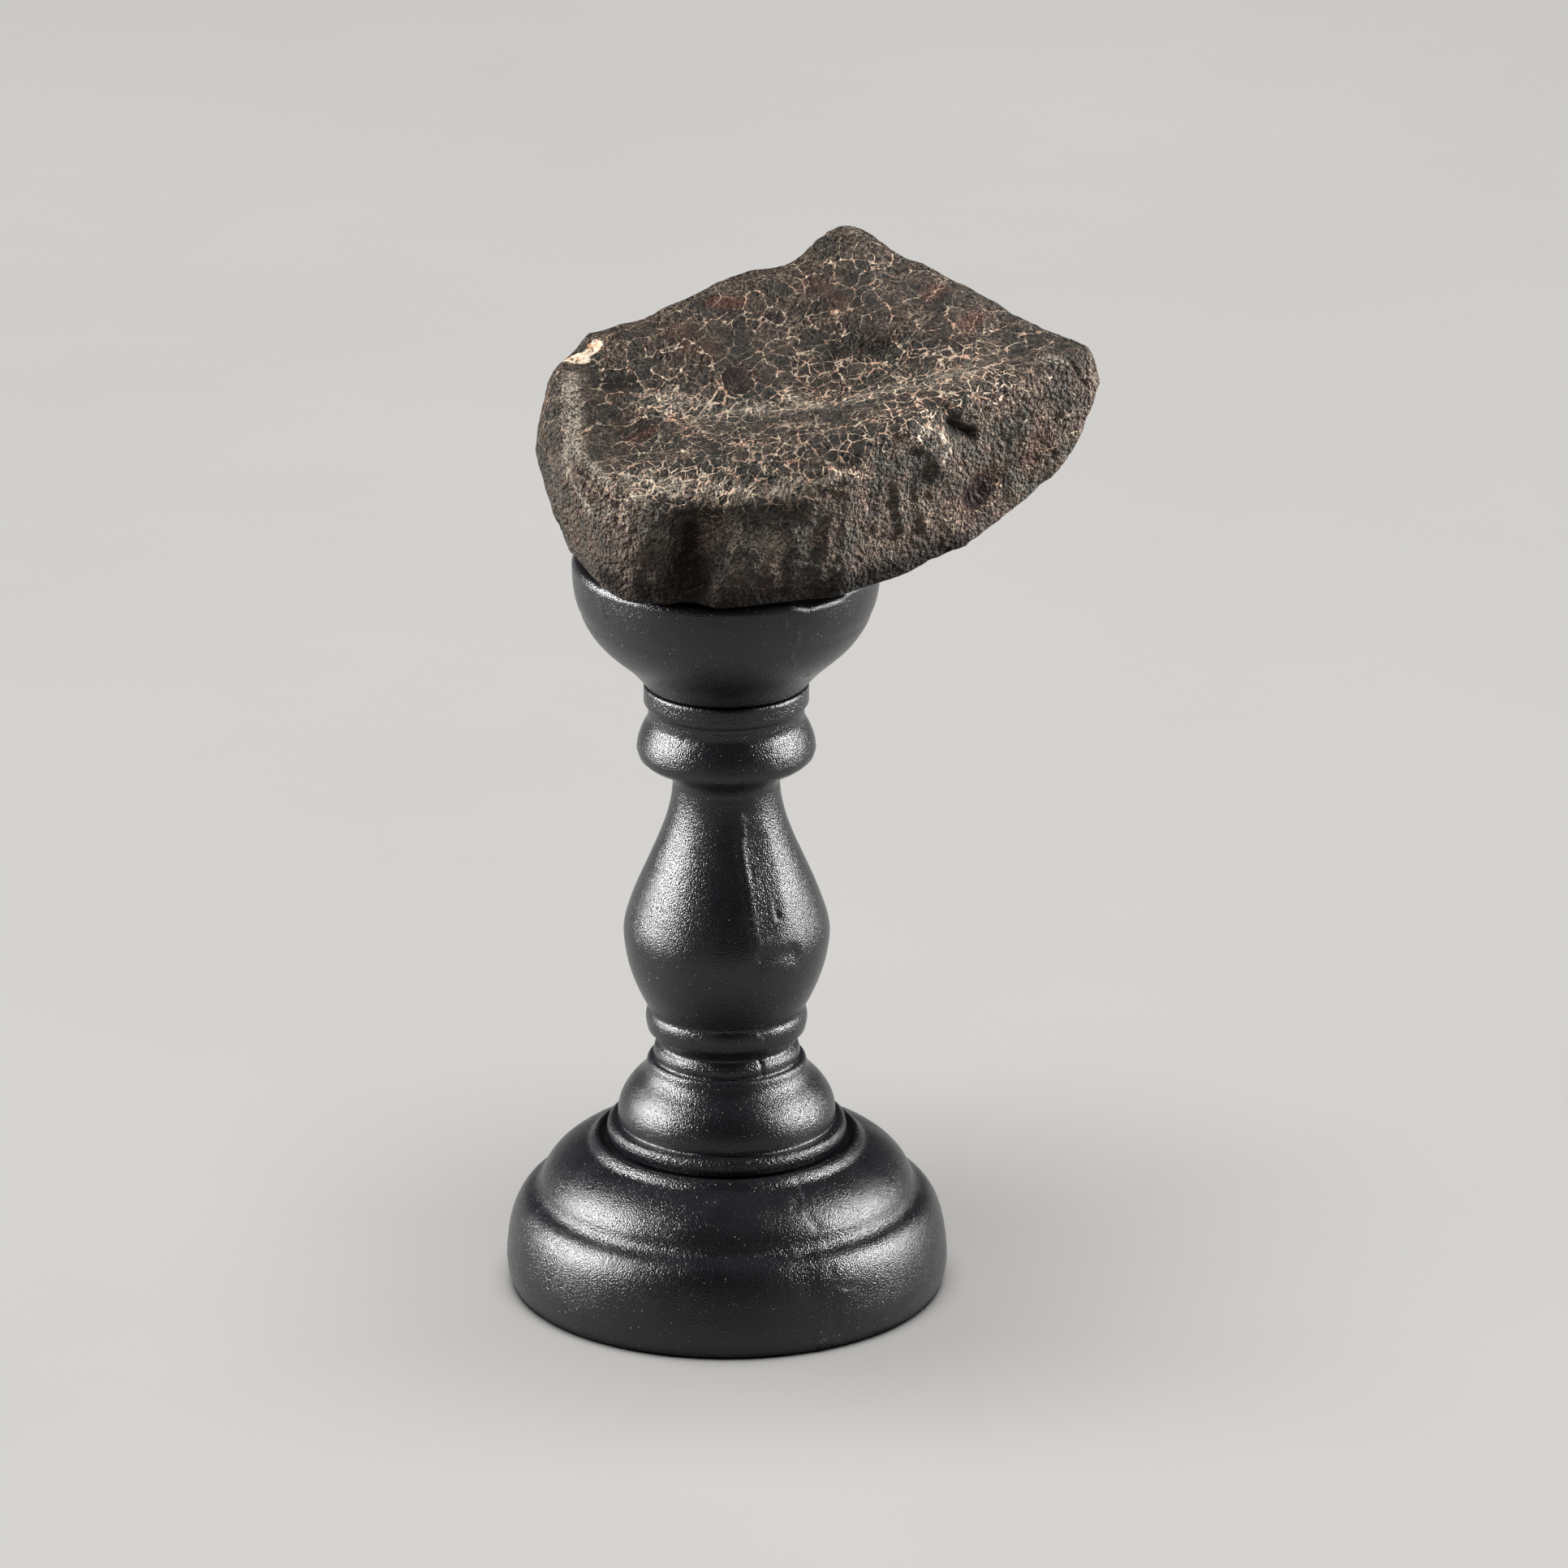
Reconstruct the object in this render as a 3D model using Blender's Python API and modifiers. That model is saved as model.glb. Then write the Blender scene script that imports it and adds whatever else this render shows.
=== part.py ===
"""A stony meteorite resting in the cup of a small black turned stand.

The stand is a wooden candlestick of three turned pieces, glued one on another: a round base with two
rolls, a stem with a bell foot, a vase and two beads, and a shallow cup. The stone lies loose in the cup.
Lengths below are in millimetres and are turned into metres where they are used. The origin is on the
surface that the stand rests on, at the middle of the base; +Z is up and -Y is the front.
"""
import math

import bmesh
import bpy
from mathutils import Vector, noise
from mathutils.bvhtree import BVHTree

MM = 0.001
GAP = 0.3                      # clearance left between pieces that touch
TURN_STEPS = 48

# ---- base, as (radius, height): a wide roll, a soft groove, a lower roll over it with a shallow hollow behind
# ---- a narrow lip, and a sunk seat for the stem
BASE_FOOT = (26.5, 0.0)
BASE_WIDEST = (27.4, 3.8)
BASE_LOWER_ROLL_TOP = (24.2, 12.0)
BASE_GROOVE = (23.15, 12.5)
BASE_UPPER_ROLL = (23.05, 13.6)
BASE_HOLLOW = (17.3, 18.45)
BASE_LIP = (16.05, 19.6)
BASE_SEAT = (15.4, 19.0)

# ---- stem, as (radius, height), from its foot ring up to the collar under the cup
FOOT_RING_UNDERSIDE = 14.6
FOOT_RING = (14.9, 20.3)
BELL_FOOT = (13.3, 21.5)
BELL_WIDEST = (13.5, 22.6)
BELL_CURVE_IN = (10.7, 27.7)
BELL_SHOULDER = (9.8, 29.6)
BELL_CREASE = (8.95, 29.9)
BELL_BEAD = (9.1, 30.6)
WAIST = (8.3, 32.0)
RING_UNDERSIDE = (9.0, 33.1)
RING_WIDEST = (10.0, 34.9)
VASE_FOOT = (9.6, 36.5)
VASE_WIDEST = (12.75, 46.8)
VASE_FLARE = (9.5, 56.2)
NECK = (6.6, 66.3)
BEAD_UNDERSIDE = (8.7, 68.6)
BEAD_WIDEST = (11.05, 70.7)
BEAD_TOP = (9.65, 74.7)
COLLAR_GROOVE = (9.65, 76.2)
COLLAR_LOW = (10.2, 76.9)
STEM_TOP = (10.2, 79.2)

# ---- cup, as (radius, height): a flared bowl under a nearly straight rim band, dished inside
CUP_FOOT = (10.1, STEM_TOP[1] + GAP)
CUP_SWEEP = (13.6, 83.2)
CUP_BOWL = (17.75, 88.4)
CUP_CREASE = (17.9, 88.9)
CUP_RIM_OUTSIDE = (18.95, 94.9)
CUP_RIM_TOP = 95.6
CUP_RIM_CHAMFER = 0.4
CUP_RIM_INSIDE = (17.45, 95.3)
CUP_DISH_FLOOR = (6.9, 89.3)

# ---- stone: its corners, as (right, back, up), named as seen from the front
STONE_MIDDLE = (10.0, 0.0, 110.0)
STONE_CORNERS = {
    "peak": (15.2, 20.5, 134.0),
    "back edge": (-1.5, 19.5, 122.8),
    "left top": (-19.5, 9.0, 120.7),
    "left upper": (-21.6, 4.0, 118.0),
    "left ridge": (-19.4, -2.0, 117.4),
    "left front top": (-17.6, -16.5, 111.6),
    "left belly": (-23.4, -3.0, 111.0),
    "left belly back": (-21.5, 9.0, 110.0),
    "left low": (-21.8, -5.0, 103.6),
    "left foot": (-19.6, -5.0, 98.0),
    "front left top": (-12.0, -20.4, 109.0),
    "front left foot": (-13.0, -17.5, 95.5),
    "front foot": (-3.0, -20.8, 95.0),
    "front top": (6.5, -21.0, 111.4),
    "front right top": (14.0, -20.6, 113.4),
    "front right foot": (14.0, -17.0, 96.2),
    "lump": (17.6, -18.4, 117.4),
    "shoulder": (26.0, -13.0, 120.6),
    "right ridge": (36.0, -8.0, 122.2),
    "right top": (44.6, -1.0, 124.2),
    "right tip": (46.4, -2.0, 118.8),
    "right side": (44.0, -3.0, 111.6),
    "right low": (41.0, -4.0, 107.4),
    "right under": (31.8, -8.0, 101.0),
    "right foot": (22.6, -12.0, 97.6),
    "right end back": (42.0, 9.0, 119.0),
    "right end low": (40.0, 8.0, 109.0),
    "right back": (31.0, 18.0, 117.0),
    "right back foot": (27.0, 14.0, 103.0),
    "peak back": (14.0, 25.5, 121.0),
    "back": (8.0, 26.5, 112.0),
    "back foot": (9.0, 22.0, 99.0),
    "back left": (-7.0, 24.5, 115.0),
    "back left low": (-12.0, 20.5, 106.0),
    "back left foot": (-12.0, 14.0, 97.0),
    "keel": (1.0, 0.0, 90.6),
}
STONE_STRETCH = 1.7            # how much longer than deep it is, which spreads its faces evenly
STONE_FINENESS = 6             # icosphere subdivisions that it is shaped with
STONE_KEPT_FACES = 0.25        # share of the triangles that is kept in the end
SMOOTHING = 0.5                # how far one smoothing pass moves a point to the middle of its neighbours
CORNER_ROUNDING = 5            # smoothing passes over the corners
BACK_ROUNDING = 14             # more passes on the back and the underside, which are worn rounder
BACK_FROM_Y = 6.0
BACK_BELOW_Z = 121.0
STONE_WAVES = ((9.0, 0.55), (4.0, 0.22))    # length and height of the unevenness of its faces
SEAT_MARGIN = 0.9              # the stone keeps this far from the cup sideways

# ---- hollows worn into the stone: from, to, radius, depth and the way it is pressed
STONE_HOLLOWS = {
    "trough left": ((-10.0, -6.0, 117.5), (14.0, -4.0, 120.5), 8.5, 3.0, (0.0, 0.3, -1.0)),
    "trough right": ((14.0, -4.0, 120.5), (35.0, -1.0, 123.0), 6.0, 1.6, (0.0, 0.3, -1.0)),
    "behind the left ridge": ((-15.0, 4.0, 119.0), (-14.0, -9.0, 115.0), 3.2, 1.1, (0.3, 0.0, -1.0)),
    "scarp": ((2.0, 5.0, 121.0), (21.0, 7.0, 124.0), 4.0, 1.3, (0.0, 1.0, -0.4)),
    "under the shoulder": ((26.0, -14.5, 115.5), (33.0, -11.0, 115.0), 4.0, 1.6, (0.0, 1.0, 0.0)),
    "under the lump": ((15.0, -21.0, 108.0), (24.0, -16.0, 111.0), 4.0, 0.9, (0.0, 1.0, 0.0)),
    "front groove": ((-3.6, -22.0, 106.0), (-4.6, -21.0, 96.0), 2.4, 1.8, (0.0, 1.0, 0.0)),
    "left of the peak": ((8.2, 17.0, 130.0), (7.4, 25.0, 127.0), 4.6, 2.4, (0.3, 0.0, -1.0)),
    "left back edge": ((-9.0, 12.0, 124.0), (1.0, 17.0, 128.0), 5.5, 1.3, (0.0, 0.0, -1.0)),
    "right of the peak": ((20.0, 15.0, 131.5), (21.0, 23.0, 129.0), 4.0, 1.9, (-0.3, 0.0, -1.0)),
    "right back slope": ((25.0, 12.0, 129.0), (27.0, 16.0, 128.0), 5.0, 0.6, (0.0, 0.0, -1.0)),
    "right back edge": ((29.0, 9.0, 127.5), (39.0, 6.0, 125.5), 6.0, 1.2, (0.0, 0.0, -1.0)),
    "back thumbprint": ((2.0, 24.0, 113.0), (8.0, 24.0, 108.0), 7.0, 1.8, (0.0, -1.0, 0.1)),
    "back right thumbprint": ((27.0, 18.0, 114.0), (30.0, 17.0, 110.0), 5.5, 1.4, (-0.2, -1.0, 0.0)),
}

BLACK_PAINT = (0.012, 0.011, 0.013)
PAINT_ROUGHNESS = 0.38
CRUST_GREY = (0.13, 0.115, 0.1)
CRUST_ROUGHNESS = 0.8


def remove_everything():
    for thing in list(bpy.data.objects):
        bpy.data.objects.remove(thing, do_unlink=True)


def new_collection(name):
    collection = bpy.data.collections.new(name)
    bpy.context.scene.collection.children.link(collection)
    return collection


def plain_material(name, color, roughness):
    material = bpy.data.materials.new(name)
    material.use_nodes = True
    shader = material.node_tree.nodes["Principled BSDF"]
    shader.inputs["Base Color"].default_value = (*color, 1.0)
    shader.inputs["Roughness"].default_value = roughness
    shader.inputs["Metallic"].default_value = 0.0
    return material


def bend(start, pull, end, steps):
    """Points of a smooth bend after its start: it leaves towards pull and arrives from pull."""
    points = []
    for i in range(1, steps + 1):
        t = i / steps
        points.append(tuple((1 - t) ** 2 * a + 2 * t * (1 - t) * b + t * t * c
                            for a, b, c in zip(start, pull, end)))
    return points


def turned(name, profile, collection):
    """A lathe-turned piece: its half section, from the axis over the outside and back to the axis."""
    mesh = bpy.data.meshes.new(name)
    vertices = [(r * MM, 0.0, z * MM) for r, z in profile]
    mesh.from_pydata(vertices, [(i, i + 1) for i in range(len(vertices) - 1)], [])
    mesh.materials.append(plain_material(name + " paint", BLACK_PAINT, PAINT_ROUGHNESS))
    piece = bpy.data.objects.new(name, mesh)
    collection.objects.link(piece)
    screw = piece.modifiers.new("turning", "SCREW")
    screw.axis = "Z"
    screw.angle = math.tau
    screw.steps = TURN_STEPS
    screw.render_steps = TURN_STEPS
    screw.use_merge_vertices = True
    screw.merge_threshold = 0.01 * MM
    screw.use_smooth_shade = True
    return piece


def base_profile():
    points = [(0.0, BASE_SEAT[1]), BASE_SEAT, BASE_LIP]
    points += bend(BASE_LIP, (16.6, 19.45), BASE_HOLLOW, 3)
    points += bend(BASE_HOLLOW, (21.8, 16.85), BASE_UPPER_ROLL, 6)
    points += bend(BASE_UPPER_ROLL, BASE_GROOVE, BASE_LOWER_ROLL_TOP, 4)
    points += bend(BASE_LOWER_ROLL_TOP, (27.0, 10.9), BASE_WIDEST, 6)
    points += bend(BASE_WIDEST, (BASE_WIDEST[0], 1.4), BASE_FOOT, 3)
    points.append((0.0, 0.0))
    return points


def stem_profile():
    top = STEM_TOP[1]
    chamfer = 0.15
    points = [(0.0, top), (STEM_TOP[0] - chamfer, top), (STEM_TOP[0], top - chamfer)]
    points += [COLLAR_LOW, COLLAR_GROOVE, BEAD_TOP]
    points += bend(BEAD_TOP, (BEAD_WIDEST[0], 72.3), BEAD_WIDEST, 3)
    points += bend(BEAD_WIDEST, (BEAD_WIDEST[0], 69.3), BEAD_UNDERSIDE, 3)
    points += bend(BEAD_UNDERSIDE, (NECK[0], 67.1), NECK, 2)
    points += bend(NECK, (NECK[0], 62.6), VASE_FLARE, 4)
    points += bend(VASE_FLARE, (VASE_WIDEST[0], 49.0), VASE_WIDEST, 4)
    points += bend(VASE_WIDEST, (VASE_WIDEST[0], 42.0), VASE_FOOT, 5)
    points += bend(VASE_FOOT, (RING_WIDEST[0], 36.1), RING_WIDEST, 2)
    points += bend(RING_WIDEST, (RING_WIDEST[0], 33.4), RING_UNDERSIDE, 2)
    points.append(WAIST)
    points += bend(WAIST, (BELL_BEAD[0], 31.5), BELL_BEAD, 2)
    points.append(BELL_CREASE)
    points += bend(BELL_CREASE, (9.55, 30.1), BELL_SHOULDER, 2)
    points += bend(BELL_SHOULDER, (10.0, 28.4), BELL_CURVE_IN, 2)
    points += bend(BELL_CURVE_IN, (BELL_WIDEST[0], 25.1), BELL_WIDEST, 5)
    points += bend(BELL_WIDEST, (BELL_WIDEST[0], 21.8), BELL_FOOT, 2)
    points += bend(BELL_FOOT, (FOOT_RING[0], 22.0), FOOT_RING, 3)
    foot = BASE_SEAT[1] + GAP
    points += [(FOOT_RING_UNDERSIDE, foot), (0.0, foot)]
    return points


def dish_profile():
    """The inside of the cup, from its middle out to the rim."""
    points = [(0.0, CUP_DISH_FLOOR[1] - 0.2), CUP_DISH_FLOOR]
    points += bend(CUP_DISH_FLOOR, (16.2, 89.7), CUP_RIM_INSIDE, 5)
    return points


def cup_profile():
    points = dish_profile()
    points += [(CUP_RIM_INSIDE[0] + CUP_RIM_CHAMFER, CUP_RIM_TOP)]
    points += [(CUP_RIM_OUTSIDE[0] - CUP_RIM_CHAMFER, CUP_RIM_TOP), CUP_RIM_OUTSIDE]
    points += bend(CUP_RIM_OUTSIDE, (CUP_RIM_OUTSIDE[0], 91.0), CUP_CREASE, 4)
    points += [CUP_BOWL]
    points += bend(CUP_BOWL, (16.6, 85.6), CUP_SWEEP, 4)
    points += bend(CUP_SWEEP, (11.85, 81.8), CUP_FOOT, 3)
    points.append((0.0, CUP_FOOT[1]))
    return points


def stone_block():
    """The block that the corners span, as a search tree."""
    block = bmesh.new()
    for corner in STONE_CORNERS.values():
        block.verts.new(corner)
    bmesh.ops.convex_hull(block, input=block.verts)
    tree = BVHTree.FromBMesh(block)
    block.free()
    return tree


def smooth(stone, vertices, passes):
    for _ in range(passes):
        bmesh.ops.smooth_vert(stone, verts=vertices, factor=SMOOTHING,
                              use_axis_x=True, use_axis_y=True, use_axis_z=True)


def distance_to_line(point, start, end):
    along = end - start
    t = max(0.0, min(1.0, (point - start).dot(along) / along.length_squared))
    return (point - (start + along * t)).length


def wear_hollows(stone):
    for start, end, radius, depth, way in STONE_HOLLOWS.values():
        start, end, way = Vector(start), Vector(end), Vector(way).normalized()
        for vertex in stone.verts:
            reach = distance_to_line(vertex.co, start, end) / radius
            vertex.co += way * depth * math.exp(-reach * reach)


def seat_height(radius):
    """Lowest height that the stone may have at this distance from the axis, over the cup."""
    if radius > CUP_RIM_OUTSIDE[0] + SEAT_MARGIN:
        return -math.inf
    for (r0, z0), (r1, z1) in zip(dish_profile(), dish_profile()[1:]):
        if radius + SEAT_MARGIN <= r1:
            return z0 + (z1 - z0) * (radius + SEAT_MARGIN - r0) / (r1 - r0) + GAP
    return CUP_RIM_TOP + GAP


def shape_stone(name):
    middle = Vector(STONE_MIDDLE)
    block = stone_block()
    stone = bmesh.new()
    bmesh.ops.create_icosphere(stone, subdivisions=STONE_FINENESS, radius=1.0)
    for vertex in stone.verts:
        way = Vector((vertex.co.x * STONE_STRETCH, vertex.co.y, vertex.co.z)).normalized()
        vertex.co = block.ray_cast(middle, way)[0]
    smooth(stone, stone.verts, CORNER_ROUNDING)
    back = [v for v in stone.verts if v.co.y > BACK_FROM_Y and v.co.z < BACK_BELOW_Z]
    smooth(stone, back, BACK_ROUNDING)
    stone.normal_update()
    for vertex in stone.verts:
        for length, height in STONE_WAVES:
            vertex.co += vertex.normal * height * noise.noise(vertex.co / length)
    wear_hollows(stone)
    for vertex in stone.verts:
        radius = math.hypot(vertex.co.x, vertex.co.y)
        vertex.co.z = max(vertex.co.z, seat_height(radius))
    for vertex in stone.verts:
        vertex.co *= MM
    for face in stone.faces:
        face.smooth = True
    mesh = bpy.data.meshes.new(name)
    stone.to_mesh(mesh)
    stone.free()
    return mesh


def add_stone(collection):
    mesh = shape_stone("meteorite")
    mesh.materials.append(plain_material("meteorite crust", CRUST_GREY, CRUST_ROUGHNESS))
    stone = bpy.data.objects.new("meteorite", mesh)
    collection.objects.link(stone)
    thinning = stone.modifiers.new("fewer faces", "DECIMATE")
    thinning.ratio = STONE_KEPT_FACES


def main():
    remove_everything()
    collection = new_collection("meteorite on stand")
    turned("base", base_profile(), collection)
    turned("stem", stem_profile(), collection)
    turned("cup", cup_profile(), collection)
    add_stone(collection)


main()
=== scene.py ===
# %% [markdown]
# # A cracked meteorite on a turned black stand
#
# A dark stony meteorite, about 69 mm wide, lies in the cup of a small candlestick-like stand. The stand
# is three turned pieces, glued one on the other and sprayed with black satin paint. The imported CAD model
# is the fixed frame: every piece made here sits where its node sits, and the sizes are read from it.

# %% Load the frame
import math

import bmesh
import bpy
import numpy as np
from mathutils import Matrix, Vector, kdtree, noise
from mathutils.bvhtree import BVHTree


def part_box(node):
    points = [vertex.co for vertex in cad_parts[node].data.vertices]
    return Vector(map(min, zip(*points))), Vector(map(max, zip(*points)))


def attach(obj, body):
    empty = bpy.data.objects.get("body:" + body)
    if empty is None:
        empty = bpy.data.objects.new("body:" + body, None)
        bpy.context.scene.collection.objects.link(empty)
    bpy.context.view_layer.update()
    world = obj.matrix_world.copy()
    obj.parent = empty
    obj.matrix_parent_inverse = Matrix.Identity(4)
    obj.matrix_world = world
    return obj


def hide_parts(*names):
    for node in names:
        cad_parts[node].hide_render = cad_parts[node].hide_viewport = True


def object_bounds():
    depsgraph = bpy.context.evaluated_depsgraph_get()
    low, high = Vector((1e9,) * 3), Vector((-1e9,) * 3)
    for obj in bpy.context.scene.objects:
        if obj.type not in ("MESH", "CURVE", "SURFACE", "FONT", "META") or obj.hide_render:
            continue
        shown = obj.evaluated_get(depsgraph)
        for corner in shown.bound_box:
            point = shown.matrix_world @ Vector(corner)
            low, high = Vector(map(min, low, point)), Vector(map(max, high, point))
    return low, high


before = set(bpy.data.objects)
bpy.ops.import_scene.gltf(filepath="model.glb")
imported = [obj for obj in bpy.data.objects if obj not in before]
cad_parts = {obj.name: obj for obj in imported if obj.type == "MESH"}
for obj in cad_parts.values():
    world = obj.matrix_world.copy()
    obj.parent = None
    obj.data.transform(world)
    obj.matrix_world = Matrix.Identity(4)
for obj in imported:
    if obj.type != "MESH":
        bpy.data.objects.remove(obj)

cad_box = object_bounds()
MM = 0.001
LOW = np.array(cad_box[0]) / MM
HIGH = np.array(cad_box[1]) / MM
print("nodes:", sorted(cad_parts), "box in mm:", LOW.round(1), HIGH.round(1))

# %% [markdown]
# ## Camera
#
# The stand is looked at from a little above, with a long lens from two metres away, so the rings of the
# stand show as flat ellipses and hardly shrink with height. A long lens could be had by zooming or by
# cropping. Here the focal length follows from how wide a slice of the object the square picture takes in.
# `FRONT_RIGHT` and `FRONT_UP` are the picture's own axes, and later cells use them to say where a mark
# is, in millimetres right of the middle of the stand and above the middle of the picture.

# %% Camera
VIEW_ELEVATION = math.radians(21)
CAMERA_DISTANCE = 2.0
PICTURE_WIDTH = 0.1932
SENSOR = 36
LOOK_AT = Vector((0.0071, 0, 0.0657))
TO_CAMERA = Vector((0, -math.cos(VIEW_ELEVATION), math.sin(VIEW_ELEVATION)))
FRONT_UP = Vector((0, math.sin(VIEW_ELEVATION), math.cos(VIEW_ELEVATION)))
FRONT_RIGHT = Vector((1, 0, 0))
MIDDLE = Vector((0, 0, LOOK_AT.z))

lens = bpy.data.cameras.new("camera")
lens.sensor_width = SENSOR
lens.lens = SENSOR * CAMERA_DISTANCE / PICTURE_WIDTH
lens.clip_start = 0.1
lens.clip_end = 50
camera = bpy.data.objects.new("camera", lens)
camera.location = LOOK_AT + TO_CAMERA * CAMERA_DISTANCE
camera.rotation_euler = (math.pi / 2 - VIEW_ELEVATION, 0, 0)
bpy.context.scene.collection.objects.link(camera)
bpy.context.scene.camera = camera
print("focal length in mm:", round(lens.lens, 1))

# %% [markdown]
# ## Light
#
# Black satin paint has almost no colour of its own: what the eye reads is the shape of the lamps
# reflected in it. So two tall softboxes stand far round to the sides and give the two soft streaks that
# run down every roll of the stand. The left one is stronger and also rakes over the stone. A third, in
# front on the left and high up, shows the grain of the stone, and a fourth hangs overhead for the floor.
# A sun lamp would give hard points in the paint instead.

# %% Softboxes
def linked(name, data):
    """Puts new data into the scene under that name."""
    made = bpy.data.objects.new(name, data)
    bpy.context.scene.collection.objects.link(made)
    return made


def softbox(name, azimuth, elevation, distance, size, watts):
    """A rectangular lamp on a sphere round the stand; azimuth 0 is the front and 90 the right."""
    a, e = math.radians(azimuth), math.radians(elevation)
    where = Vector((math.sin(a) * math.cos(e), -math.cos(a) * math.cos(e), math.sin(e)))
    lamp = bpy.data.lights.new(name, "AREA")
    lamp.shape = "RECTANGLE"
    lamp.size, lamp.size_y = size
    lamp.energy = watts
    holder = linked(name, lamp)
    holder.location = MIDDLE + where * distance
    holder.rotation_euler = where.to_track_quat("Z", "Y").to_euler()
    holder.visible_camera = False
    return holder


left_lamp = softbox("softbox left", -92, 20, 0.6, (0.14, 0.36), 14.0)
right_lamp = softbox("softbox right", 95, 20, 0.6, (0.14, 0.36), 10.5)
stone_lamp = softbox("softbox top", -22, 42, 1.0, (0.6, 0.6), 7.6)
floor_lamp = softbox("floor lamp", 0, 90, 2.0, (1.6, 1.6), 84.0)
print("lamps:", [lamp.name for lamp in bpy.data.lights])

# %% [markdown]
# ## Room and floor
#
# A plain pale floor and a dim white room keep the picture quiet. The floor is one flat sheet, twelve
# metres wide, so that it fills the picture from every side that looks down on the stand. A curved studio
# backdrop would hide the horizon too, but only from the front.

# %% Room and floor
ROOM_GLOW = 0.06
FLOOR_SIDE = 12.0

room = bpy.data.worlds.new("room")
room.use_nodes = True
room.node_tree.nodes["Background"].inputs["Color"].default_value = (1, 1, 1, 1)
room.node_tree.nodes["Background"].inputs["Strength"].default_value = ROOM_GLOW
bpy.context.scene.world = room
bpy.context.scene.view_settings.view_transform = "Standard"

sheet = bmesh.new()
bmesh.ops.create_grid(sheet, x_segments=1, y_segments=1, size=FLOOR_SIDE / 2)
floor_mesh = bpy.data.meshes.new("floor")
sheet.to_mesh(floor_mesh)
sheet.free()
floor = linked("floor", floor_mesh)
print("floor side in m:", FLOOR_SIDE)

# %% [markdown]
# ## What each lamp lights
#
# The side lamps are strong for the sake of the paint, and would burn two bright pools into the pale
# floor. Light linking gives a lamp a collection of the objects that it may light. The overhead lamp
# lights the floor alone, which keeps it evenly pale, the third lamp lights the stone alone, so that it
# adds no streak to the paint, and the side lamps leave the floor out. The stone joins its collection once
# it is made.

# %% Light linking
only_floor = bpy.data.collections.new("lit by the floor lamp")
only_floor.objects.link(floor)
floor_lamp.light_linking.receiver_collection = only_floor
only_stone = bpy.data.collections.new("lit by the top softbox")
stone_lamp.light_linking.receiver_collection = only_stone
all_but_floor = bpy.data.collections.new("not lit by the side lamps")
all_but_floor.objects.link(floor)
all_but_floor.collection_objects[0].light_linking.link_state = "EXCLUDE"
left_lamp.light_linking.receiver_collection = all_but_floor
right_lamp.light_linking.receiver_collection = all_but_floor

# %% [markdown]
# ## Wiring materials
#
# Every finish below is a node tree that works in millimetres on Object coordinates: the pieces sit at the
# origin, so a pattern stays where it is on the real thing from any side. One small helper places a node,
# sets its options and plugs its sockets, and the others give names to what it is mostly used for, which
# keeps each material short enough to read. Image textures would be quicker but fixed in size; nodes stay
# sharp at any distance.

# %% Node helpers
def add(tree, kind, inputs=None, out=0, **options):
    """Places a node, sets its options and its sockets, and returns one of its outputs.

    A socket takes a plain value or another node's output.
    """
    made = tree.nodes.new(kind)
    for option, value in options.items():
        setattr(made, option, value)
    for socket, value in (inputs or {}).items():
        if isinstance(value, bpy.types.NodeSocket):
            tree.links.new(value, made.inputs[socket])
        else:
            made.inputs[socket].default_value = value
    return made.outputs[out]


def maths(tree, operation, first, second=0.0, third=0.0):
    """One Math node."""
    return add(tree, "ShaderNodeMath", {0: first, 1: second, 2: third}, operation=operation)


def plus(tree, first, second):
    """Adds two values."""
    return maths(tree, "ADD", first, second)


def minus(tree, first, second):
    """Takes the second value from the first."""
    return maths(tree, "SUBTRACT", first, second)


def times(tree, first, second):
    """Multiplies two values."""
    return maths(tree, "MULTIPLY", first, second)


def centred(tree, value, strength):
    """Turns a noise from 0 to 1 into one that swings round zero, at some strength."""
    return times(tree, minus(tree, value, 0.5), strength)


def fade(tree, value, start, end, low=0.0, high=1.0):
    """Goes smoothly from low to high as the value goes from start to end."""
    ends = {"Value": value, "From Min": start, "From Max": end, "To Min": low, "To Max": high}
    return add(tree, "ShaderNodeMapRange", ends, interpolation_type="SMOOTHSTEP")


print("value helpers:", [one.__name__ for one in (maths, plus, minus, times, centred, fade)])

# %% [markdown]
# Colours are mixed, or laid over each other like coats of paint, each where a mask says. Noise is asked
# for by the size of its blobs, because a maker knows how wide a grain is, not what a texture's scale
# number means.

# %% Colour and noise helpers
def shade(*parts):
    """A colour with full alpha."""
    return (*parts, 1.0)


def blend_colours(tree, share, first, second, way="MIX"):
    """Mixes two colours."""
    parts = {"Factor": share, 6: first, 7: second}
    return add(tree, "ShaderNodeMix", parts, out=2, data_type="RGBA", blend_type=way)


def coated(tree, colour, mask, strength, coat):
    """Lays a coat over a colour where the mask is, at some strength."""
    return blend_colours(tree, times(tree, mask, strength), colour, coat)


def noise_at(tree, place, size, detail=2.0, roughness=0.5):
    """A noise value from 0 to 1 with blobs about `size` millimetres across."""
    settings = {"Vector": place, "Scale": 1 / size, "Detail": detail, "Roughness": roughness}
    return add(tree, "ShaderNodeTexNoise", settings)


def vector_maths(tree, operation, first, second):
    """One Vector Math node; a SCALE takes a number second, the others a vector."""
    return add(tree, "ShaderNodeVectorMath", {0: first, 3 if operation == "SCALE" else 1: second},
               operation=operation)


def nudged(tree, place, push, reach):
    """A place moved about by a noise's colour, by up to half of `reach` each way."""
    push = vector_maths(tree, "SUBTRACT", push, (0.5, 0.5, 0.5))
    return vector_maths(tree, "ADD", place, vector_maths(tree, "SCALE", push, reach))


print("colour helpers:", [one.__name__ for one in (shade, blend_colours, coated, noise_at, nudged)])

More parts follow.
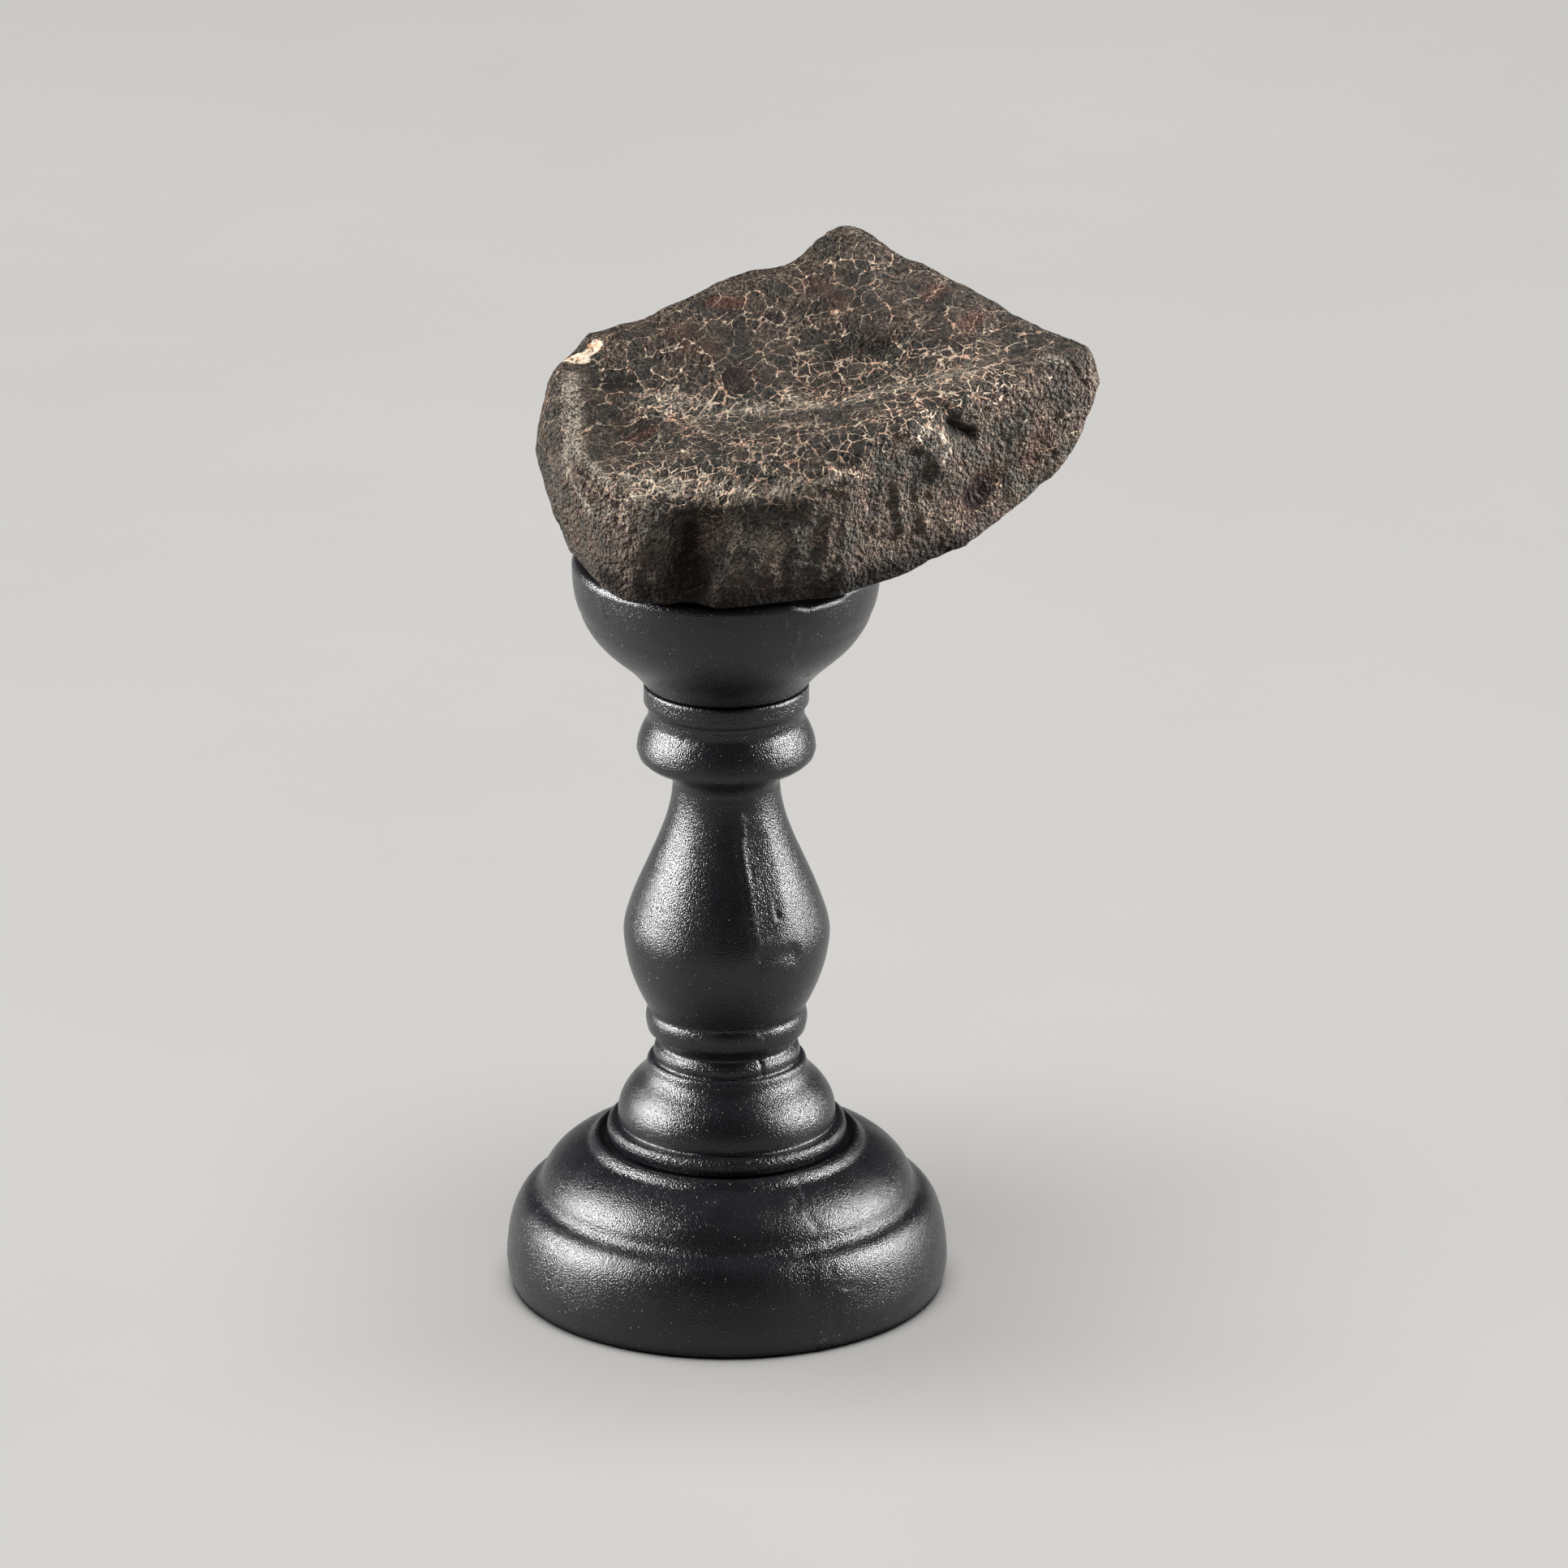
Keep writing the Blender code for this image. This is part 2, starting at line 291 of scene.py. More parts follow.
# %% [markdown]
# A material starts from its shader and its place in millimetres, and ends with colour, roughness and a
# Bump node. A group starts from its named sockets, whose first values are those that it has until a
# material gives others.

# %% Material and group helpers
def new_group(name, inputs, outputs):
    """An empty shader group with its sockets; inputs are {name: default}, outputs are names."""
    tree = bpy.data.node_groups.new(name, "ShaderNodeTree")
    for label, default in inputs.items():
        kind = "NodeSocketVector" if default is None else "NodeSocketFloat"
        socket = tree.interface.new_socket(label, in_out="INPUT", socket_type=kind)
        if default is not None:
            socket.default_value = default
    for label in outputs:
        tree.interface.new_socket(label, in_out="OUTPUT", socket_type="NodeSocketFloat")
    entry = tree.nodes.new("NodeGroupInput")
    return tree, entry.outputs, tree.nodes.new("NodeGroupOutput").inputs


def use_group(tree, group, inputs):
    """Places a group in a tree and returns its first output."""
    return add(tree, "ShaderNodeGroup", inputs, node_tree=group)


def new_material(name):
    """An empty material with its Principled shader and its place in millimetres."""
    material = bpy.data.materials.new(name)
    material.use_nodes = True
    tree = material.node_tree
    surface = tree.nodes["Principled BSDF"]
    place = add(tree, "ShaderNodeTexCoord", out=3)
    return material, tree, surface, vector_maths(tree, "SCALE", place, 1 / MM)


def finish_with(tree, surface, colour, roughness, relief, strength):
    """Plugs colour and roughness, and a relief in millimetres through a Bump node."""
    tree.links.new(colour, surface.inputs["Base Color"])
    tree.links.new(roughness, surface.inputs["Roughness"])
    bump = add(tree, "ShaderNodeBump", {"Strength": strength, "Distance": MM, "Height": relief})
    tree.links.new(bump, surface.inputs["Normal"])


print("one millimetre is", MM, "m")

# %% [markdown]
# ## Effects built as groups
#
# Each effect below is one node group with named inputs, built once and placed wherever a finish wants it,
# at its own size. `grain` is a field of small lumps: the floor board has it, and the paint twice, as
# orange peel and as crust in the grooves. Round cells give the lumps, and a finer noise pushes them out
# of shape. Noise alone would give soft waves instead of lumps.

# %% Grain
grain, inside, outside = new_group("grain", {"Place": None, "Size": 0.4, "Ragged": 0.5}, ["Height"])
per_mm = maths(grain, "DIVIDE", 1.0, inside["Size"])
settings = {"Vector": inside["Place"], "Scale": per_mm, "Detail": 2.0}
fine_noise = add(grain, "ShaderNodeTexNoise", settings).node.outputs
reach = times(grain, inside["Size"], inside["Ragged"])
shifted = nudged(grain, inside["Place"], fine_noise["Color"], reach)
from_middle = add(grain, "ShaderNodeTexVoronoi", {"Vector": shifted, "Scale": per_mm})
dome = times(grain, from_middle, from_middle)
rough = times(grain, fine_noise["Fac"], 0.5)
grain.links.new(minus(grain, plus(grain, 0.75, rough), dome), outside["Height"])
print("group:", grain.name)

# %% [markdown]
# `crack net` draws the borders between cells and bends them with noise, because real cracks are never
# straight, and it lets their width come and go. The stone has it for its finest cracks.

# %% Crack net
crack_net, inside, outside = new_group(
    "crack net", {"Place": None, "Cell": 4.0, "Width": 0.15, "Wander": 1.0}, ["Line"])
per_mm = maths(crack_net, "DIVIDE", 1.0, inside["Cell"])
slow = times(crack_net, per_mm, 1.6)
settings = {"Vector": inside["Place"], "Scale": slow, "Detail": 3.0}
bend = add(crack_net, "ShaderNodeTexNoise", settings, out=1)
reach = times(crack_net, inside["Wander"], inside["Cell"])
bent = nudged(crack_net, inside["Place"], bend, reach)
border = add(crack_net, "ShaderNodeTexVoronoi", {"Vector": bent, "Scale": per_mm},
             feature="DISTANCE_TO_EDGE")
border = times(crack_net, border, inside["Cell"])
uneven = add(crack_net, "ShaderNodeTexNoise", {**settings, "Detail": 1.0})
width = times(crack_net, fade(crack_net, uneven, 0.38, 0.62, 0.15, 1.6), inside["Width"])
line = maths(crack_net, "DIVIDE", border, width)
crack_net.links.new(fade(crack_net, line, 0.35, 1.3, 1.0, 0.0), outside["Line"])
print("group:", crack_net.name)

# %% [markdown]
# `dust` keeps one small dot in a few of many cells, for specks caught in the paint, and `clouds` turns
# slow noise into soft-edged patches, for the floor board and for where hands have polished the paint.

# %% Dust and clouds
dust, inside, outside = new_group(
    "dust", {"Place": None, "Spacing": 1.2, "Speck": 0.1, "Share": 0.3}, ["Mask"])
per_mm = maths(dust, "DIVIDE", 1.0, inside["Spacing"])
spots = add(dust, "ShaderNodeTexVoronoi", {"Vector": inside["Place"], "Scale": per_mm}).node.outputs
apart = times(dust, spots["Distance"], inside["Spacing"])
chance = add(dust, "ShaderNodeSeparateColor", {0: spots["Color"]}).node.outputs
size = times(dust, inside["Speck"], plus(dust, 0.5, chance[0]))
near = maths(dust, "LESS_THAN", apart, size)
chosen = maths(dust, "LESS_THAN", chance[1], inside["Share"])
dust.links.new(times(dust, near, chosen), outside["Mask"])

clouds, inside, outside = new_group(
    "clouds", {"Place": None, "Size": 6.0, "Cover": 0.5, "Softness": 0.1}, ["Mask"])
per_mm = maths(clouds, "DIVIDE", 1.0, inside["Size"])
settings = {"Vector": inside["Place"], "Scale": per_mm, "Detail": 4.0, "Roughness": 0.6}
drift = add(clouds, "ShaderNodeTexNoise", settings)
edge = minus(clouds, 1.0, inside["Cover"])
edge_from = minus(clouds, edge, inside["Softness"])
edge_to = plus(clouds, edge, inside["Softness"])
clouds.links.new(fade(clouds, drift, edge_from, edge_to), outside["Mask"])
print("groups:", [group.name for group in bpy.data.node_groups])

# %% [markdown]
# ## Floor finish
#
# A matt pale board, with only the faintest cloudiness and grain. A flat colour would do for a floor, but
# it looks computed beside a grainy stone.

# %% Floor material
BOARD_DARK, BOARD_PALE = shade(0.37, 0.362, 0.35), shade(0.39, 0.382, 0.37)

floor_finish, tree, surface, place = new_material("pale floor")
cloudy = use_group(tree, clouds, {"Place": place, "Size": 160.0, "Cover": 0.5, "Softness": 0.3})
pale = blend_colours(tree, cloudy, BOARD_DARK, BOARD_PALE)
matt = fade(tree, cloudy, 0.0, 1.0, 0.75, 0.85)
finish_with(tree, surface, pale, matt, use_group(tree, grain, {"Place": place, "Size": 1.5}), 0.05)
floor.data.materials.append(floor_finish)
print("finish:", floor_finish.name)

# %% [markdown]
# ## The stone: an even skin
#
# The CAD stone has the right size and facets, but its triangles are long and thin, and relief can't be
# pressed into those. A voxel remesh lays an even skin of small quads over it, and a few rounds of
# smoothing take the cut-gem look off the facets. The other way, subdividing, would keep the long
# triangles. The mesh comes from a merged copy, because the CAD node itself is never changed.

# %% Stone skin
SKIN_STEP = 0.34
SMOOTHING = 14


def merged_copy(node):
    """A CAD node's mesh with its loose triangles joined at their corners."""
    shape = bmesh.new()
    shape.from_mesh(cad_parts[node].data)
    bmesh.ops.remove_doubles(shape, verts=shape.verts, dist=0.001 * MM)
    return shape


def made_plain(piece):
    """Turns a piece with modifiers into a plain mesh."""
    ready = piece.evaluated_get(bpy.context.evaluated_depsgraph_get())
    done = bpy.data.meshes.new_from_object(ready)
    piece.modifiers.clear()
    piece.data = done
    return piece


def points_of(mesh):
    """The mesh's points, in millimetres."""
    flat = np.empty(len(mesh.vertices) * 3)
    mesh.vertices.foreach_get("co", flat)
    return flat.reshape(-1, 3) / MM


def normals_of(mesh):
    """The way each point of the mesh faces."""
    flat = np.empty(len(mesh.vertices) * 3)
    mesh.vertices.foreach_get("normal", flat)
    return flat.reshape(-1, 3)


def put_points(mesh, points):
    """Writes points in millimetres back into the mesh, kept inside the CAD model's box."""
    kept = np.clip(points, LOW, HIGH) * MM
    mesh.vertices.foreach_set("co", kept.ravel())
    mesh.update()


block = merged_copy("meteorite")
mesh = bpy.data.meshes.new("stone")
block.to_mesh(mesh)
block.free()
stone = linked("stone", mesh)
skin = stone.modifiers.new("skin", "REMESH")
skin.mode = "VOXEL"
skin.voxel_size = SKIN_STEP * MM
skin.use_smooth_shade = True
soft = stone.modifiers.new("soft", "SMOOTH")
soft.factor = 0.5
soft.iterations = SMOOTHING
made_plain(stone)
stone.data.shade_smooth()
print("stone faces:", len(stone.data.polygons))

# %% [markdown]
# ## The stone: relief
#
# The front face is cut by a deep groove and a ledge, with a small lump under the ridge and a dark pocket
# beside it. Each is one stroke: a line of places seen from the front, how far its effect reaches, and how
# far it pushes the skin out or presses it in. `touched` sends the line of sight through such a place onto
# the surface, so a stroke always lands on the stone. Over the strokes lies noise at four sizes, from
# gentle swellings to lumps under a millimetre, and on the front a fifth that is drawn out downwards,
# where the crust ran while it was molten. Sculpting by hand would give the same forms, but strokes can be
# read and changed.

# %% Stroke helpers
def touched(tree, across, up):
    """The place, in millimetres, where the sight line through a front-view point meets the surface."""
    start = camera.location
    seen = MIDDLE + FRONT_RIGHT * across * MM + FRONT_UP * up * MM
    hit = tree.ray_cast(start, (seen - start).normalized())[0]
    return None if hit is None else np.array(hit) / MM


def surface_path(tree, path):
    """A front-view path laid on the surface."""
    found = [touched(tree, *place) for place in path]
    return [place for place in found if place is not None]


def distance_to(points, path):
    """How far each point is from a path of straight pieces."""
    nearest = np.full(len(points), 1e9)
    for start, end in zip(path, path[1:] or path):
        along = end - start
        share = ((points - start) @ along) / max(along @ along, 1e-9)
        foot = start + np.clip(share, 0, 1)[:, None] * along
        nearest = np.minimum(nearest, np.linalg.norm(points - foot, axis=1))
    return nearest


def swell(points, size, start=0.0, stretch=(1, 1, 1)):
    """Smooth noise from -1 to 1 with lumps about `size` millimetres across."""
    spots = points * (np.array(stretch) / size) + start
    return np.array([noise.noise(Vector(spot)) for spot in spots.tolist()])


def tree_of(mesh):
    """A search tree of the mesh, for casting lines of sight on it."""
    points = (points_of(mesh) * MM).tolist()
    return BVHTree.FromPolygons(points, [tuple(face.vertices) for face in mesh.polygons])


def swells(points, layers, shift=0.0):
    """Several swells added up; each layer is (size, height, start)."""
    return sum(height * swell(points, size, start + shift) for size, height, start in layers)


print("50 mm above the middle, the sight line meets the stone at, in mm:",
      touched(tree_of(stone.data), 0, 50).round(1).tolist())

# %% [markdown]
# Where the stone rests in the cup, nothing may stand out of it, so the relief fades towards the seat: no
# lump is left there, and hollows keep a quarter of their depth. The whole skin is also drawn in by a
# hair, to stay inside the CAD stone.

# %% Relief
# path seen from the front (mm across, mm up), reach, height
STONE_STROKES = [
    ([(-4.3, 27), (-3.9, 22), (-3.7, 17)], 3.2, -1.0),
    ([(22.6, 43.6), (25.2, 41.6), (26.2, 39.8)], 1.9, 1.0),
    ([(27.6, 44.2), (30.0, 43.3)], 0.65, -0.9),
    ([(26.4, 43.2), (27.4, 41.6)], 0.6, 0.5),
    ([(-18.8, 47), (-18.2, 40.5), (-14, 36.6), (-9.8, 34.4)], 1.0, 0.3),
    ([(21, 57), (19.5, 54), (17.5, 52.4)], 2.2, -0.7),
    ([(14, 53.2), (20.5, 54.4)], 1.4, -0.5),
    ([(31.5, 36.5), (30.5, 34.5)], 2.6, -0.5),
    ([(-22, 43), (-21.3, 36)], 1.6, -0.3),
    ([(-18.5, 45), (-18.2, 40), (-17.4, 35.6)], 1.1, 0.35),
    ([(-8, 33.4), (0, 34.3), (10, 35.3), (14, 37.6)], 0.8, 0.35),
    ([(21.3, 36.8), (21.5, 31.5)], 0.9, 0.4),
    ([(24.2, 33.8), (24.4, 31.6)], 0.7, 0.4),
    ([(42.5, 52), (43.4, 50.2), (44.3, 49.2)], 0.35, -0.5),
    ([(-13.2, 34.5), (-13.6, 32.6)], 0.6, -0.5),
    ([(-5.9, 32.6), (-6.1, 30.8)], 0.5, -0.4),
    ([(-18.8, 53.6), (-16.4, 54)], 0.7, -0.6),
    ([(-12, 27), (-8.5, 22)], 3.5, 0.5),
]
# size, height and start of each layer of noise
SWELLINGS = ((7.0, 0.28, 5.0), (3.0, 0.14, 11.0))
LUMPS = ((1.5, 0.24, 17.0), (0.85, 0.18, 23.0))
RUNS = 2.2, 31.0, (1.0, 1.0, 0.35)
RUNS_HEIGHT = 0.2
SEAT_TOP, SEAT_FADE = 96.5, 3.0
DRAWN_IN = 0.08

points = points_of(stone.data)
facing = normals_of(stone.data)
stone_tree = tree_of(stone.data)
relief = np.zeros(len(points))
for path, reach, height in STONE_STROKES:
    away = distance_to(points, surface_path(stone_tree, path))
    relief += height * np.exp(-((away / reach) ** 2))
front_face = np.clip(-facing[:, 1] * 1.6 - np.clip(facing[:, 2], 0, 1), 0, 1)
relief += swells(points, SWELLINGS)
relief += (0.55 + 0.45 * front_face) * swells(points, LUMPS)
relief += RUNS_HEIGHT * front_face * swell(points, *RUNS)
seat = np.clip((points[:, 2] - SEAT_TOP) / SEAT_FADE, 0, 1)
relief = np.where(relief > 0, relief * seat, relief * np.maximum(seat, 0.25)) - DRAWN_IN
points = points + facing * relief[:, None]
put_points(stone.data, points)
print("relief in mm:", relief.min().round(2), "to", relief.max().round(2))

# %% [markdown]
# ## The stone: cracks drawn one by one
#
# As the crust cooled it cracked into cells, and rust and clay have filled the cracks with a thin cream
# and peach line. The strongest ones are drawn here, one path each, and laid on the skin as a row of dots,
# shaken a little by noise so that no crack is straight. For each point of the skin the nearest dot is
# found, and how far away it is. Painting a texture would need an unwrapped skin and a big picture. The
# net between these lines follows in the next step.

# %% Crack paths
# each path is seen from the front (mm across, mm up)
CRACKS = [
    [(20.5, 42.6), (22, 43.4), (23.5, 42.6), (24.5, 43.8), (26.5, 43.6), (27.3, 42.1), (27.7, 41)],
    [(23.5, 42.6), (24.6, 41.2), (26.2, 41), (27.3, 42.1)],
    [(22, 43.4), (21, 44.8), (19.4, 45)],
    [(-6.6, 58.8), (-5.7, 58.2), (-4.5, 57.4), (-3.5, 56.7), (-2.8, 56.4)],
    [(-3.7, 55.8), (-2.8, 56.5), (-2, 57.1), (-0.8, 57.5), (0.3, 58.2), (1.2, 58.6), (1.9, 58.6),
     (2.6, 58.1), (3.7, 57.9)],
    [(1.9, 58.6), (2.4, 59.4), (2.3, 60), (2.8, 60.6), (3.5, 60.9), (4.3, 60.8)],
    [(3.5, 60.9), (4.4, 60.4), (4.7, 59.5), (5.1, 58.7), (5.8, 58.8), (6.7, 58.4), (7.5, 57.7), (7.2, 57),
     (6.3, 56.5), (5.1, 57.2), (4.3, 57.8), (4.7, 58.4), (5.2, 58.7)],
    [(2.3, 58.2), (2.4, 57.2), (2.6, 56.4), (3.7, 55.6)],
    [(-0.8, 57.4), (-0.2, 56.7), (0.4, 56.4)],
    [(-6.8, 53.2), (-6.1, 53.8), (-5.2, 54.9), (-4.5, 54.7), (-3.6, 54), (-2.9, 53.5), (-2.1, 53),
     (-1.8, 52.2), (-1.5, 51.2)],
    [(1.6, 51.8), (2.6, 52.5), (3.5, 53), (4.4, 53.4), (4.9, 54), (4.9, 54.3), (6, 54.9), (7.2, 54.9),
     (8.1, 55.1), (8.9, 54.7), (9, 54)],
    [(4.9, 54), (5.8, 53.3), (7, 52.7), (8.3, 52.7), (9, 53.3), (10.2, 53.4), (11.6, 53.2), (12.2, 52.7)],
    [(4.7, 53.8), (4.6, 52.6), (5.2, 51.9), (6.3, 51.3), (6.4, 50.1)],
    [(8.3, 64.1), (9, 63.3), (9.9, 62.7), (12, 62.9)],
    [(9.9, 62.7), (10.1, 61.8), (9.8, 61.1)],
    [(12, 64.2), (12.6, 64.7), (13.4, 64.1), (13.4, 62.7), (12.7, 62.3), (12.7, 61.7), (13.4, 61.6),
     (14.1, 62)],
    [(12, 64.2), (13.3, 64.4), (14, 64.7), (15.5, 64.7)],
    [(15.5, 65.5), (15.5, 64.7), (16.1, 63.7), (17.2, 63.3), (18.4, 63.5), (19.5, 63.6), (20.3, 64),
     (20.6, 65), (20.5, 65.4)],
    [(17.2, 63.3), (16.4, 62.9), (16.3, 62), (15.5, 61.2)],
    [(19.5, 63.6), (19.6, 62.9), (21, 62.3)],
    [(16.4, 66.8), (15.6, 65.8)],
    [(18, 65.4), (18.2, 64.8), (18.3, 63.5)],
    [(9.9, 57.1), (10.3, 57.8), (11.3, 57.9), (12.5, 58.3), (13.4, 58.2), (14.5, 58.1), (15.5, 58.7),
     (16.8, 58.9)],
    [(12.5, 58.3), (13.4, 57.7), (14.1, 56.7), (14.5, 55.8), (14.7, 55.3), (13.8, 54.8), (12.5, 54.7),
     (11.6, 54.9)],
    [(9.7, 57.7), (10.6, 56.5), (11.6, 56.1)],
    [(17.3, 58.6), (17.9, 57.7), (17.9, 57)],
    [(19.8, 59.3), (20.3, 58.6), (20.3, 57.2)],
    [(23.7, 58.6), (24.6, 59.5), (25.6, 60.6), (26.7, 61.7)],
    [(26.9, 59.5), (27.2, 58.1), (27.9, 56.7), (27.9, 55.8), (27.4, 54.4)],
    [(23.5, 57.2), (23.4, 56.3), (24.2, 55.8), (25.6, 55.9), (26.9, 56.1)],
    [(20.6, 54.6), (21.2, 54), (21.8, 53.3), (21.2, 52.2), (21.1, 51.2)],
    [(21.8, 53.3), (23.3, 53.6), (24.6, 53.5), (25.8, 53.8), (26.7, 54), (27.6, 53.8), (28.5, 53.1)],
    [(16.8, 59), (16.6, 60), (16.8, 60.5), (18, 61.1), (19.1, 61.6)],
    [(6, 60.2), (6.3, 59.5), (5.4, 58.8)],
    [(7.2, 62), (8.1, 61.1), (9.5, 60.4), (9.3, 59.5), (8.3, 58.7)],
    [(-0.7, 50.6), (-0.4, 51), (0.2, 51.3), (1.7, 51.4), (2.7, 51), (3.3, 50.5), (3.5, 49.6), (3.3, 48.7),
     (2.5, 48.1), (1.4, 47.9), (0.2, 48.3), (-0.4, 49.1), (-0.7, 49.8), (-0.7, 50.6)],
    [(-15.7, 51.1), (-15.1, 51.1), (-13.8, 51.1), (-12.4, 51.3), (-11.7, 51), (-11, 50.4), (-10.5, 49.2),
     (-10.1, 48.5), (-9, 48), (-7.8, 47.9), (-7.3, 48.7), (-7.1, 49.6), (-8, 50.2), (-9, 50.8),
     (-9.7, 51.2)],
    [(-15.1, 50.9), (-14.9, 50.2), (-15.5, 49.2), (-15.5, 48.7), (-14.9, 48.1), (-13.2, 48.3),
     (-11.8, 48.1), (-10.9, 47.8), (-10.3, 47.7), (-10.1, 48.3)],
    [(-14.9, 48.1), (-14.9, 47.1), (-15.7, 46.8), (-15.9, 46), (-15.7, 45.6)],
    [(-14.9, 47), (-13.8, 46.8), (-13.2, 46.5)],
    [(-7.3, 48), (-7.8, 47.1), (-8.4, 46.6), (-9.2, 46)],
    [(-17.6, 43.5), (-16.6, 44.1), (-15.7, 44.4), (-14.7, 44.2), (-13.2, 44.2), (-11.7, 44.2),
     (-11.3, 44.5)],
    [(-11.3, 44.7), (-10.5, 45.2), (-9.4, 45.4), (-8, 45.2), (-6.1, 45), (-4.6, 45.3), (-3.2, 45.4)],
    [(-7.3, 45), (-6.1, 44.5), (-5, 43.9), (-3.6, 44.1), (-2.3, 44.3), (-1.3, 43.9)],
    [(-14.5, 42.4), (-13.4, 42.1), (-12.2, 42), (-11.3, 41.6), (-10.7, 40.8), (-9.6, 40.8), (-8, 40.8),
     (-6.1, 41), (-5, 40.9), (-4.2, 42), (-4.2, 42.4)],
    [(-10.7, 40.8), (-11.1, 39.7)],
    [(-8, 40.8), (-8.2, 42.2), (-8.2, 43.1)],
    [(-7.4, 40.4), (-7.3, 39.3), (-6.9, 38), (-6.5, 37)],
    [(-4.4, 40.3), (-3.6, 39.1), (-3, 38.3), (-2.9, 37.8), (-4.2, 37.4), (-5, 36.9)],
    [(-4.4, 40.3), (-3.6, 40.4), (-2.3, 40.3), (-0.6, 39.9)],
    [(-2.9, 37.8), (-2.1, 38.3), (-0.8, 38.5), (0.4, 38.7), (1.4, 39)],
    [(-0.9, 39.9), (-0.4, 41.4), (0.6, 42.2), (1.5, 41.9), (2.7, 41.4), (3.1, 41), (3.3, 40.3),
     (4.2, 39.3), (5.2, 38.7)],
    [(1.9, 43.3), (2.9, 42.7), (4, 42.1), (5.6, 41.6), (6.3, 41.6)],
    [(6.1, 40.4), (6.3, 41.2), (7.3, 42.2), (8, 42.7), (8.6, 43.2)],
    [(-15.3, 38.3), (-13.8, 38.4), (-12.4, 38.2), (-11.8, 37.6), (-10.7, 37), (-9.7, 36.7), (-9, 37.4),
     (-9.9, 38.3)],
    [(-8.8, 34.8), (-7.6, 34.7), (-6.3, 34.5)],
    [(-7.1, 51), (-6.3, 51.2), (-5.2, 50.7), (-4.2, 50.2), (-3.4, 49.6), (-3, 49.1)],
    [(-8.2, 53.2), (-7.3, 53.3), (-6.5, 53.3), (-6.1, 53.6), (-5.3, 54)],
    [(-3.6, 53.2), (-2.5, 53.1), (-1.9, 52.5), (-1.5, 51.5), (-1.5, 50.8)],
    [(-12.3, 54.6), (-12.3, 53.5), (-12.2, 51.9)],
    [(-10.3, 54.2), (-10.1, 53.5), (-9.9, 52.7)],
    [(1.5, 51.9), (2.7, 52.5), (3.6, 53.2), (4.4, 53.3), (4.8, 52.5), (5.4, 51.7), (6.1, 51.3),
     (6.2, 50)],
    [(8.2, 52.7), (8.8, 51.7), (8.8, 50.2), (8.4, 49.4)],
    [(21.1, 52), (21.5, 52.5), (21.9, 53.4), (23.1, 53.6), (24.5, 53.8), (25.7, 53.7), (26.6, 54.1),
     (27.5, 54), (27.7, 53.5)],
    [(27.3, 54.5), (27.9, 55.2), (27.9, 55.9), (27.6, 56.6)],
    [(29.3, 54), (30.5, 54.3), (30.9, 54.6), (32.3, 54.5), (33.2, 54.1), (34.5, 53.7), (34.8, 54.1),
     (36, 54.4), (36.9, 54.6), (36.1, 55.1), (35.8, 55.7)],
    [(34.5, 53.7), (34.6, 53.2), (33.9, 52.2)],
    [(36.9, 54.6), (37.1, 55.5), (38.3, 55.7), (39, 55.2), (40.1, 54.4), (41.3, 54.4)],
    [(40.1, 54.4), (38.7, 53.8), (38.4, 53.2), (38, 52.2), (39.2, 51.9), (39.9, 51.7)],
    [(37, 54.5), (37.2, 53.7), (38.5, 53.6)],
    [(31.6, 56.6), (31.6, 55.5), (33.2, 56.1), (34.6, 56.5)],
    [(26.6, 49.7), (26.3, 48.7), (27.5, 48.1), (27.9, 47.4), (27.9, 47), (27.3, 46.2), (26.6, 45.6)],
    [(22.7, 47.8), (23.4, 47), (24.5, 46.2), (25.2, 45.5)],
    [(20.4, 46.5), (21.7, 45.6), (23.4, 45.2), (25.2, 45.2)],
    [(27.9, 48), (28.9, 48.5), (30.5, 48.5), (31.8, 48.2), (32.8, 48.2), (32.9, 47.8)],
    [(33.2, 49.5), (33.9, 50.2), (34, 51.1)],
    [(13.9, 40.5), (14.4, 39.8), (14.6, 39.2), (15.1, 38.5), (16, 37.8), (16.7, 37.5), (18.3, 37.7),
     (19.9, 38.1)],
    [(36.9, 44.9), (38, 44.9), (39, 45.4), (39.9, 45.1), (41.3, 44.8), (42.6, 45.7), (43.6, 46.3)],
    [(42.2, 43.1), (43.6, 43.4)],
    [(33.5, 42.8), (34.8, 42.6), (35.3, 42.8)],
    [(36.9, 42), (37.6, 41), (39.2, 41), (40.6, 41.6), (41.4, 41.9)],
    [(25.7, 43.3), (26.6, 43.5), (27.3, 42.8), (27.9, 41.9), (27.9, 40.8)],
    [(23.8, 42.8), (24.3, 41.9), (23.6, 41.6), (22.4, 41.4)],
    [(31.6, 38), (32.8, 38.1), (33.5, 37.8), (33.7, 36.9), (34.4, 36.2)],
    [(30.5, 33.4), (31.2, 34), (32.3, 34.3), (33, 34.7)],
]
CRACK_STEP = 0.12
CRACK_FAR = 3.0
# size, height and start of each layer of noise
CRACK_SHAKE = ((0.9, 0.22, 40.0), (0.4, 0.1, 50.0))

stone_tree = tree_of(stone.data)
dots = []
for path in CRACKS:
    laid = surface_path(stone_tree, path)
    for start, end in zip(laid, laid[1:]):
        steps = max(1, int(np.linalg.norm(end - start) / CRACK_STEP))
        for step in range(steps):
            dots.append(start + (end - start) * step / steps)
places = np.array(dots)
for axis in range(3):
    places[:, axis] += swells(places, CRACK_SHAKE, axis)


def finder_of(places):
    """A tree that finds which of many places is nearest."""
    finder = kdtree.KDTree(len(places))
    for index, place_on in enumerate(places.tolist()):
        finder.insert(place_on, index)
    finder.balance()
    return finder


dot_finder = finder_of(places)

